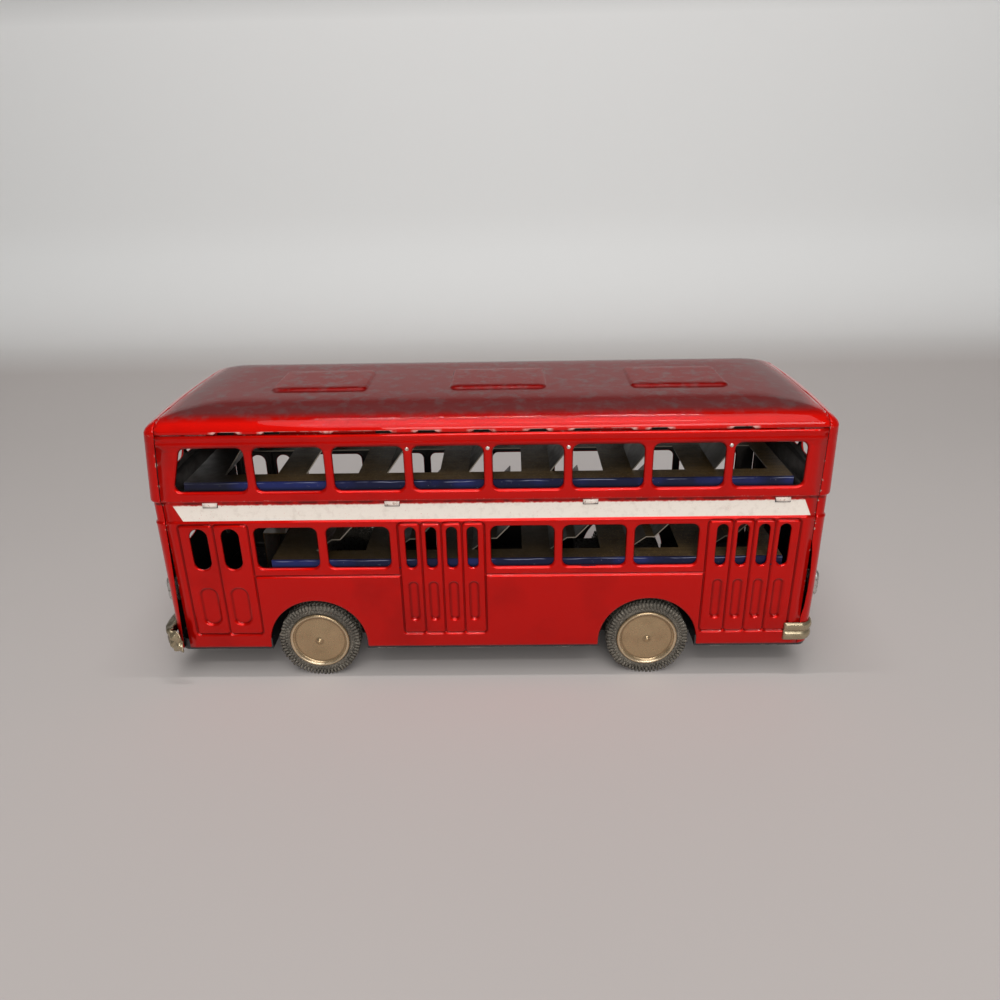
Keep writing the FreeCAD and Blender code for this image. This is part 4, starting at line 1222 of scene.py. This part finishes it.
def tin_back():
    """Dull inner side of the printed sheet, near black as painted shade of the inside."""
    f = Finish("tin_back", (0.016, 0.014, 0.012), Roughness=0.42, Metallic=0.3)
    f.over(f.ramp(f.noise(60.0, 5.0), 0.45, 0.75, 0.0, 0.8), (0.035, 0.028, 0.02))
    f.over(f.group("Speckle", Scale=900.0, Cover=0.16, Softness=0.1), (0.06, 0.032, 0.016))
    f.feed("Roughness", f.ramp(f.noise(140.0, 4.0), 0.3, 0.7, 0.32, 0.55))
    f.bump(f.group("Tin waves"), 0.5)
    return f.material


def printed_deck(finish, deck, seat_from):
    """Khaki plank print on floor and seats, blue turned-down sides, orange seat tops and bare cut edges, with
    painted shade and a painted glint.
    """
    floor_z = DECK_FLOOR_Z[deck]
    f = Finish(f"{deck}_deck_print", finish.khaki, Coat_Weight=0.06, Coat_Roughness=0.2,
               Specular_IOR_Level=0.25)
    away_y = f.size(f.y)
    f.over(f.ramp(f.noise(70.0, 5.0, (0.35, 1, 1)), 0.42, 0.72, 0.0, 0.9), shade(finish.khaki, 2.1))
    planks = f.stripes(f.y, 0.25)
    f.over(f.times(f.ramp(planks, 0.07, 0.03), 0.75), shade(finish.khaki, 0.3))
    f.over(f.group("Speckle", Scale=1300.0, Cover=0.22, Softness=0.06), shade(finish.khaki, 2.9))
    tops = f.ramp(f.z, seat_from, seat_from + 0.6)
    f.over(tops, finish.orange)
    f.over(f.times(tops, f.times(f.ramp(planks, 0.12, 0.03), 0.5)), shade(finish.orange, 0.3))
    # Painted shade: the deck darker towards the front.
    if floor_z < BAND_Z:
        f.over(f.ramp(f.x, 70.0, 30.0, 0.0, 0.7), shade(finish.khaki, 0.3))
    else:
        f.over(f.ramp(f.x, -88.0, -118.0, 0.0, 0.8), shade(finish.khaki, 0.25))
    normal = put(f.tree, "ShaderNodeNewGeometry").outputs["Normal"]
    facing = put(f.tree, "ShaderNodeSeparateXYZ", Vector=normal)
    sideways, upright = facing.outputs[1], facing.outputs[2]
    # Painted shade: faces that don't face up are darker.
    f.over(f.ramp(f.size(upright), 0.92, 0.84, 0.0, 0.75), shade(finish.khaki, 0.35))
    flange = f.ramp(away_y, 47.9, 48.2)
    f.over(flange, finish.blue)
    patches = f.ramp(f.noise(30.0, 4.0, (1, 1, 0.4)), 0.42, 0.54)
    f.over(f.times(flange, patches, 0.8), shade(finish.blue, 0.15))
    low = f.ramp(f.z, floor_z - 2.2, floor_z - 3.6)
    f.over(f.times(flange, low, 0.75), shade(finish.blue, 0.12))
    wander = f.plus(f.z, f.times(f.noise(60.0, 3.0), 1.6))
    glint = f.within(wander, floor_z + 0.15, floor_z + 0.35, 0.15)
    f.over(f.times(flange, glint, f.ramp(f.noise(90.0, 2.0), 0.45, 0.6)), (0.33, 0.36, 0.5))
    f.over(f.times(flange, f.group("Speckle", Scale=700.0, Cover=0.12, Softness=0.05)), (0.12, 0.13, 0.17))
    cut = f.times(f.ramp(f.size(sideways), 0.9, 0.98), f.ramp(away_y, 47.4, 46.9))
    f.over(cut, (0.34, 0.3, 0.24))
    # Painted shade: the upper deck's front end near black.
    if floor_z > BAND_Z:
        f.over(f.ramp(f.x, -110.0, -120.0, 0.0, 0.8), (0.004, 0.003, 0.003))
    f.feed("Metallic", f.plus(f.times(cut, 0.5), 0.1))
    f.feed("Roughness", f.ramp(f.noise(200.0, 3.0), 0.3, 0.7, 0.3, 0.48))
    f.bump(f.group("Tin waves", Waves=40.0, Peel=900.0), 0.35)
    return f.material


def driver_print(finish):
    """Orange-red ribbed seat over khaki."""
    f = Finish("driver_seat_print", finish.orange, Roughness=0.35, Metallic=0.2, Coat_Weight=0.4)
    ribs = f.stripes(f.z, 0.4)
    f.over(f.times(f.ramp(ribs, 0.16, 0.05), 0.8), shade(finish.orange, 0.3))
    f.over(f.ramp(f.z, 66.0, 64.5), shade(finish.khaki, 1.5))
    f.over(f.group("Speckle", Scale=1200.0, Cover=0.2, Softness=0.08), shade(finish.orange, 0.6))
    f.feed("Roughness", f.ramp(f.noise(160.0, 3.0), 0.3, 0.7, 0.28, 0.46))
    f.bump(f.group("Tin waves"), 0.3)
    return f.material


def worn_metal(name, color, dirt, roughness, grime=0.25, scale=700.0, metallic=0.9, pits=0.3):
    """Plated or lacquered tin with dirt in its hollows and pits."""
    f = Finish(name, color, Metallic=metallic)
    dull = [0.6 * c + 0.4 * d for c, d in zip(color, dirt)]
    f.over(f.ramp(f.noise(120.0, 5.0), 0.45, 0.75, 0.0, 0.65), dull)
    f.over(f.group("Speckle", Scale=scale, Cover=grime, Softness=0.1), dirt)
    f.over(f.group("Speckle", Scale=scale * 2.3, Cover=grime * 0.75, Softness=0.05), shade(dirt, 0.5))
    f.feed("Roughness", f.ramp(f.noise(300.0, 4.0), 0.3, 0.7, roughness - 0.08, roughness + 0.12))
    f.bump(f.group("Tin waves", Waves=120.0, Peel=1500.0, Peel_depth=0.5), pits)
    return f


def bumper_plate(finish):
    """Yellowed plate of the bumpers, painted dark as painted shade where the front one's left end has sprung
    away.
    """
    f = worn_metal("nickel", finish.nickel, (0.2, 0.15, 0.07), 0.26, 0.1, 500.0, 0.8, 0.05)
    sprung = f.times(f.ramp(f.x, -157.5, -159.5), f.within(f.y, -52.0, -24.0, 2.0))
    # Painted shade on the sprung-away end.
    f.over(f.times(sprung, 0.85), (0.085, 0.065, 0.035))
    return f.material


def gold_disc(finish):
    """Gold lacquered disc, pitted and speckled, with painted shade at its rim's root and round the point and
    a painted highlight round its rim.
    """
    f = worn_metal("gold_disc", finish.gold, (0.2, 0.13, 0.065), 0.24, 0.11, 900.0, 0.75, 0.05)
    for x in AXLE_X.values():
        away = f.math("SQRT", f.plus(f.math("POWER", f.less(f.x, x), 2.0),
                                     f.math("POWER", f.less(f.z, AXLE_Z), 2.0)))
        # Painted shade at the rim's root and round the point.
        f.over(f.times(f.within(away, 12.1, 12.75, 0.25), 0.55), (0.12, 0.07, 0.035))
        f.over(f.times(f.within(away, 1.1, 2.2, 0.3), 0.35), (0.12, 0.07, 0.035))
        # Painted highlight round the rim.
        f.over(f.times(f.within(away, 13.2, 14.2, 0.3), 0.5), (0.85, 0.72, 0.52))
    return f.material


def rubber(finish):
    """Old grey-brown rubber with dust in its tread."""
    f = Finish("aged_rubber", finish.rubber, Roughness=0.72)
    f.over(f.ramp(f.noise(110.0, 5.0), 0.42, 0.7, 0.0, 0.75), shade(finish.rubber, 1.9))
    f.over(f.group("Speckle", Scale=800.0, Cover=0.24, Softness=0.12), shade(finish.rubber, 0.35))
    f.over(f.group("Speckle", Scale=1700.0, Cover=0.2, Softness=0.06), (0.34, 0.3, 0.24))
    f.feed("Roughness", f.ramp(f.noise(220.0, 3.0), 0.3, 0.7, 0.6, 0.85))
    f.bump(f.noise(1500.0, 4.0), 0.12)
    return f.material


def black_plate():
    """Black lacquered base, dusty and scuffed to tin along its edges."""
    f = Finish("black_plate", (0.014, 0.014, 0.016), Roughness=0.38, Coat_Weight=0.3)
    f.over(f.ramp(f.noise(50.0, 5.0), 0.45, 0.75, 0.0, 0.7), (0.04, 0.038, 0.036))
    f.over(f.group("Speckle", Scale=600.0, Cover=0.17, Softness=0.06), (0.13, 0.1, 0.075))
    scuffs = f.group("Speckle", Scale=260.0, Cover=0.14, Softness=0.03)
    f.over(f.times(f.within(f.z, 15.5, 16.3, 0.1), scuffs), (0.34, 0.31, 0.27))
    f.feed("Roughness", f.ramp(f.noise(130.0, 4.0), 0.3, 0.7, 0.28, 0.55))
    f.bump(f.group("Tin waves"), 0.4)
    return f.material


def white_tab(finish):
    """White paint on the deck's tabs, worn through on their folds."""
    f = Finish("white_tab", finish.band, Roughness=0.5)
    f.over(f.group("Speckle", Scale=900.0, Cover=0.2, Softness=0.06), (0.42, 0.27, 0.2))
    f.over(f.ramp(f.plus(f.y, f.times(f.noise(800.0, 3.0), 0.5)), -50.25, -50.7, 0.0, 0.5),
           (0.75, 0.55, 0.48))
    f.feed("Roughness", f.ramp(f.noise(500.0, 2.0), 0.3, 0.7, 0.4, 0.6))
    f.bump(f.noise(900.0, 3.0), 0.08)
    return f.material


# Plain metals: key, name, colour, dirt, roughness.
PLAIN_METALS = (
    ("bezel", "bezel_tin", (0.62, 0.61, 0.58), (0.2, 0.18, 0.15), 0.34),
    ("lens", "lens_silver", (0.78, 0.77, 0.73), (0.3, 0.28, 0.24), 0.22),
    ("steel", "axle_steel_finish", (0.42, 0.4, 0.37), (0.15, 0.08, 0.04), 0.4),
    ("motor", "motor_tin", (0.36, 0.35, 0.33), (0.1, 0.07, 0.05), 0.42),
    ("inner", "inner_disc_tin", (0.2, 0.19, 0.17), (0.08, 0.05, 0.03), 0.45),
    ("rivet", "rivet_tin", (0.85, 0.8, 0.74), (0.35, 0.2, 0.14), 0.3),
)


# ---- Stage ------------------------------------------------------------------------------------
CAMERA_PLACE = (0.0123, -0.3883, 0.2445)
CAMERA_YAW, CAMERA_PITCH, CAMERA_ROLL = math.radians(1.126), math.radians(23.72), math.radians(-1.072)
# Lamps: name, place, aim, width, height, watts.
LAMPS = (
    ("key", (0.1, -1.0, 1.6), (0, 0, 0.06), 1.5, 2.0, 18.5),
    ("high_strip", (0.0, -0.05, 1.45), (0, 0, 0.13), 0.8, 0.013, 5.0),
    ("low_strip", (0.0, -0.95, 1.2), (0, 0, 0.13), 0.9, 0.013, 2.5),
    ("front", (0.3, -2.0, 0.75), (0, 0, 0.06), 1.4, 0.4, 13.0),
)


def stage_material(name, color, rough):
    f = Finish(name, color, Roughness=rough)
    f.shader.inputs["Specular IOR Level"].default_value = 0.15
    f.over(f.ramp(f.noise(2.5, 3.0), 0.4, 0.7, 0.0, 0.25), shade(color, 0.92))
    return f


def cove(stage):
    """Floor that sweeps up into the backdrop."""
    turn, wall = 0.16, 0.84
    path = [(-2.2, 0.0), (-1.2, 0.0), (-0.5, 0.0), (0.2, 0.0)]
    path += [(wall - turn + turn * math.sin(a), turn - turn * math.cos(a))
             for a in np.linspace(0, math.pi / 2, 17)]
    path += [(wall, 0.6), (wall, 1.2), (wall, 2.4)]
    xs = np.linspace(-2.6, 2.6, 27)
    verts = [(x / MM, y / MM, z / MM) for y, z in path for x in xs]
    obj = outward(new_object("cove", verts, grid_faces(len(path), len(xs))), Vector((0, -1, 1)))
    f = stage_material("cove_paper", stage.floor, 0.85)
    f.over(f.ramp(f.y, 560.0, 830.0), stage.wall)
    # Painted shade: the backdrop darkens above 400 mm, standing for the dim room above the lit wall.
    f.over(f.ramp(f.z, 400.0, 560.0), shade(stage.wall, 0.12))
    obj.data.materials.append(f.material)


def camera(stage):
    yaw, pitch, roll = CAMERA_YAW, CAMERA_PITCH, CAMERA_ROLL
    ahead = Vector((-math.sin(yaw) * math.cos(pitch), math.cos(yaw) * math.cos(pitch), -math.sin(pitch)))
    right = Vector((math.cos(yaw), math.sin(yaw), 0))
    up = right.cross(ahead)
    across = math.cos(roll) * right + math.sin(roll) * up
    above = -math.sin(roll) * right + math.cos(roll) * up
    place = Matrix((across, above, -ahead)).transposed().to_4x4()
    place.translation = CAMERA_PLACE
    data = bpy.data.cameras.new("camera")
    data.lens, data.sensor_width, data.clip_start = stage.lens, 36.0, 0.01
    obj = linked("camera", data)
    obj.matrix_world = place
    bpy.context.scene.camera = obj


def lamps_and_world():
    for name, place, aim, width, height, watts in LAMPS:
        data = bpy.data.lights.new(name, "AREA")
        data.shape, data.size, data.size_y, data.energy = "RECTANGLE", width, height, watts
        obj = linked(name, data)
        obj.location = place
        obj.rotation_euler = (Vector(aim) - Vector(place)).to_track_quat("-Z", "Y").to_euler()
    world = bpy.data.worlds.new("soft_room")
    world.use_nodes = True
    world.node_tree.nodes["Background"].inputs["Color"].default_value = (1.0, 0.99, 0.97, 1)
    world.node_tree.nodes["Background"].inputs["Strength"].default_value = 0.1
    bpy.context.scene.world = world
    bpy.context.scene.view_settings.view_transform = "Standard"


# ---- Operators -----------------------------------------------------------------------------------
MATERIALS = {}


def kept(obj, materials, body="root", nodes=()):
    """Give a finished piece its materials, hang it on its body and hide the CAD nodes it stands for."""
    slots = obj.data.materials
    while len(slots) < len(materials):
        slots.append(None)
    for i in range(len(slots)):
        slots[i] = MATERIALS[materials[min(i, len(materials) - 1)]]
    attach(obj, body)
    if nodes:
        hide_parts(*nodes)


def repaint(node, name):
    """Give a CAD node a finish."""
    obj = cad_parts[node]
    obj.data.materials.clear()
    obj.data.materials.append(MATERIALS[name])


class TINBUS_OT_finishes(bpy.types.Operator):
    """Make every finish of the toy"""
    bl_idname = "tinbus.finishes"
    bl_label = "Finishes"

    def execute(self, context):
        paint = context.scene.tin_finish
        Finish.groups.update({"Speckle": speckle_group(), "Tin waves": tin_waves_group()})
        MATERIALS.update({
            "red": red_lacquer(paint), "back": tin_back(), "rubber": rubber(paint), "gold": gold_disc(paint),
            "upper_print": printed_deck(paint, "upper", NOWHERE), "driver": driver_print(paint),
            "lower_print": printed_deck(paint, "lower", LOWER_SEAT_TOP_Z), "black": black_plate(),
            "tab": white_tab(paint), "nickel": bumper_plate(paint),
        })
        for key, *look in PLAIN_METALS:
            MATERIALS[key] = worn_metal(*look).material
        return {"FINISHED"}


class TINBUS_OT_sides(bpy.types.Operator):
    """Build both side pressings with the flanges at their eaves"""
    bl_idname = "tinbus.sides"
    bl_label = "Sides"

    def execute(self, context):
        for side in SIDES:
            panel = side_panel(side, context.scene.tin_body)
            kept(panel, ("red", "back"), nodes=[f"{side}_side_panel"])
            kept(eaves_flange(side), ("red", "back"))
            kept(eaves_shade_tabs(side), ("back",))
        return {"FINISHED"}


class TINBUS_OT_ends(bpy.types.Operator):
    """Build the front and rear pressings"""
    bl_idname = "tinbus.ends"
    bl_label = "Ends"

    def execute(self, context):
        for end in ENDS:
            panel = end_panel(end, context.scene.tin_body)
            kept(panel, ("red", "back"), nodes=[f"{end}_panel"])
        return {"FINISHED"}


class TINBUS_OT_roof(bpy.types.Operator):
    """Build the roof pressing with its hatch panels"""
    bl_idname = "tinbus.roof"
    bl_label = "Roof"

    def execute(self, context):
        kept(roof_panel(context.scene.tin_body), ("red", "back"), nodes=["roof_panel"])
        return {"FINISHED"}


class TINBUS_OT_bumpers(bpy.types.Operator):
    """Build both ribbed bumpers, the front one with its broken end"""
    bl_idname = "tinbus.bumpers"
    bl_label = "Bumpers"

    def execute(self, context):
        for end in ENDS:
            kept(bumper(end), ("nickel", "back"), nodes=[f"{end}_bumper"])
        return {"FINISHED"}


class TINBUS_OT_lamps(bpy.types.Operator):
    """Build the four lamps"""
    bl_idname = "tinbus.lamps"
    bl_label = "Lamps"

    def execute(self, context):
        for end in ENDS:
            for side in SIDES:
                bezel, lenses = lamp(end, side)
                kept(bezel, ("bezel",), nodes=[f"{end}_{side}_lamp"])
                kept(lenses, ("lens",))
        return {"FINISHED"}


class TINBUS_OT_wheels(bpy.types.Operator):
    """Build the ribbed tyres and the dished discs"""
    bl_idname = "tinbus.wheels"
    bl_label = "Wheels"

    def execute(self, context):
        ribs = rib_tree(MATERIALS["rubber"])
        for end in ENDS:
            for side in SIDES:
                body = f"{end}_wheelset"
                tread = tyre(end, side, context.scene.tin_wheels, MATERIALS["rubber"], ribs)
                kept(tread, ("rubber",), body, [f"{end}_{side}_tyre"])
                kept(wheel_disc(end, side), ("gold",), body, [f"{end}_{side}_wheel_disc"])
        return {"FINISHED"}


class TINBUS_OT_fastenings(bpy.types.Operator):
    """Build the deck's tabs, the rivets and the base plate's tongues"""
    bl_idname = "tinbus.fastenings"
    bl_label = "Fastenings"

    def execute(self, context):
        kept(deck_tabs(), ("tab", "back"))
        points = [(x, sign * (HALF_WIDTH + 0.02), RIVET_Z) for sign in SIDES.values() for x in RIVET_X]
        rivets = grown("post_rivets", points, rivet_tree(MATERIALS["rivet"]), {})
        kept(rivets, ("rivet",))
        spots = [(x, sign * PLATE_TAB_Y, PLATE_TAB_Z) for x in PLATE_TABS for sign in SIDES.values()]
        tongues = grown("base_tongues", spots, tongue_tree(MATERIALS["motor"]), {})
        kept(tongues, ("motor",))
        return {"FINISHED"}


INSIDE_FINISHES = (
    ("upper_deck", "upper_print"), ("lower_deck", "lower_print"), ("driver_seat", "driver"),
    ("chassis_plate", "black"), ("friction_motor", "motor"),
)


class TINBUS_OT_inside(bpy.types.Operator):
    """Finish the decks, driver's seat, base plate, motor, axles and inner discs"""
    bl_idname = "tinbus.inside"
    bl_label = "Inside and underside"

    def execute(self, context):
        for node, name in INSIDE_FINISHES:
            repaint(node, name)
        for end in ENDS:
            repaint(f"{end}_axle", "steel")
            for side in SIDES:
                repaint(f"{end}_{side}_inner_disc", "inner")
        return {"FINISHED"}


class TINBUS_OT_stage(bpy.types.Operator):
    """Set up the pale cove, the soft light and the camera"""
    bl_idname = "tinbus.stage"
    bl_label = "Stage"

    def execute(self, context):
        cove(context.scene.tin_stage)
        camera(context.scene.tin_stage)
        lamps_and_world()
        return {"FINISHED"}


OPERATORS = (
    TINBUS_OT_finishes, TINBUS_OT_sides, TINBUS_OT_ends, TINBUS_OT_roof, TINBUS_OT_bumpers,
    TINBUS_OT_lamps, TINBUS_OT_wheels, TINBUS_OT_fastenings, TINBUS_OT_inside, TINBUS_OT_stage,
)


class TINBUS_PT_panel(bpy.types.Panel):
    """Sidebar panel that lists the pieces"""
    bl_label = "Tinplate Bus"
    bl_idname = "TINBUS_PT_panel"
    bl_space_type = "VIEW_3D"
    bl_region_type = "UI"
    bl_category = "Tinplate Bus"

    def draw(self, context):
        for operator in OPERATORS:
            self.layout.operator(operator.bl_idname)
        for settings in (context.scene.tin_body, context.scene.tin_wheels, context.scene.tin_finish,
                         context.scene.tin_stage):
            column = self.layout.column()
            for name in settings.__annotations__:
                column.prop(settings, name)


SETTINGS = {"tin_body": BodySettings, "tin_wheels": WheelSettings, "tin_finish": FinishSettings,
            "tin_stage": StageSettings}


def register():
    for kind in (*SETTINGS.values(), *OPERATORS, TINBUS_PT_panel):
        bpy.utils.register_class(kind)
    for name, kind in SETTINGS.items():
        setattr(bpy.types.Scene, name, PointerProperty(type=kind))


def unregister():
    for name in SETTINGS:
        delattr(bpy.types.Scene, name)
    for kind in reversed((*SETTINGS.values(), *OPERATORS, TINBUS_PT_panel)):
        bpy.utils.unregister_class(kind)


def main():
    register()
    for operator in OPERATORS:
        group, name = operator.bl_idname.split(".")
        getattr(getattr(bpy.ops, group), name)()


if __name__ == "__main__":
    main()
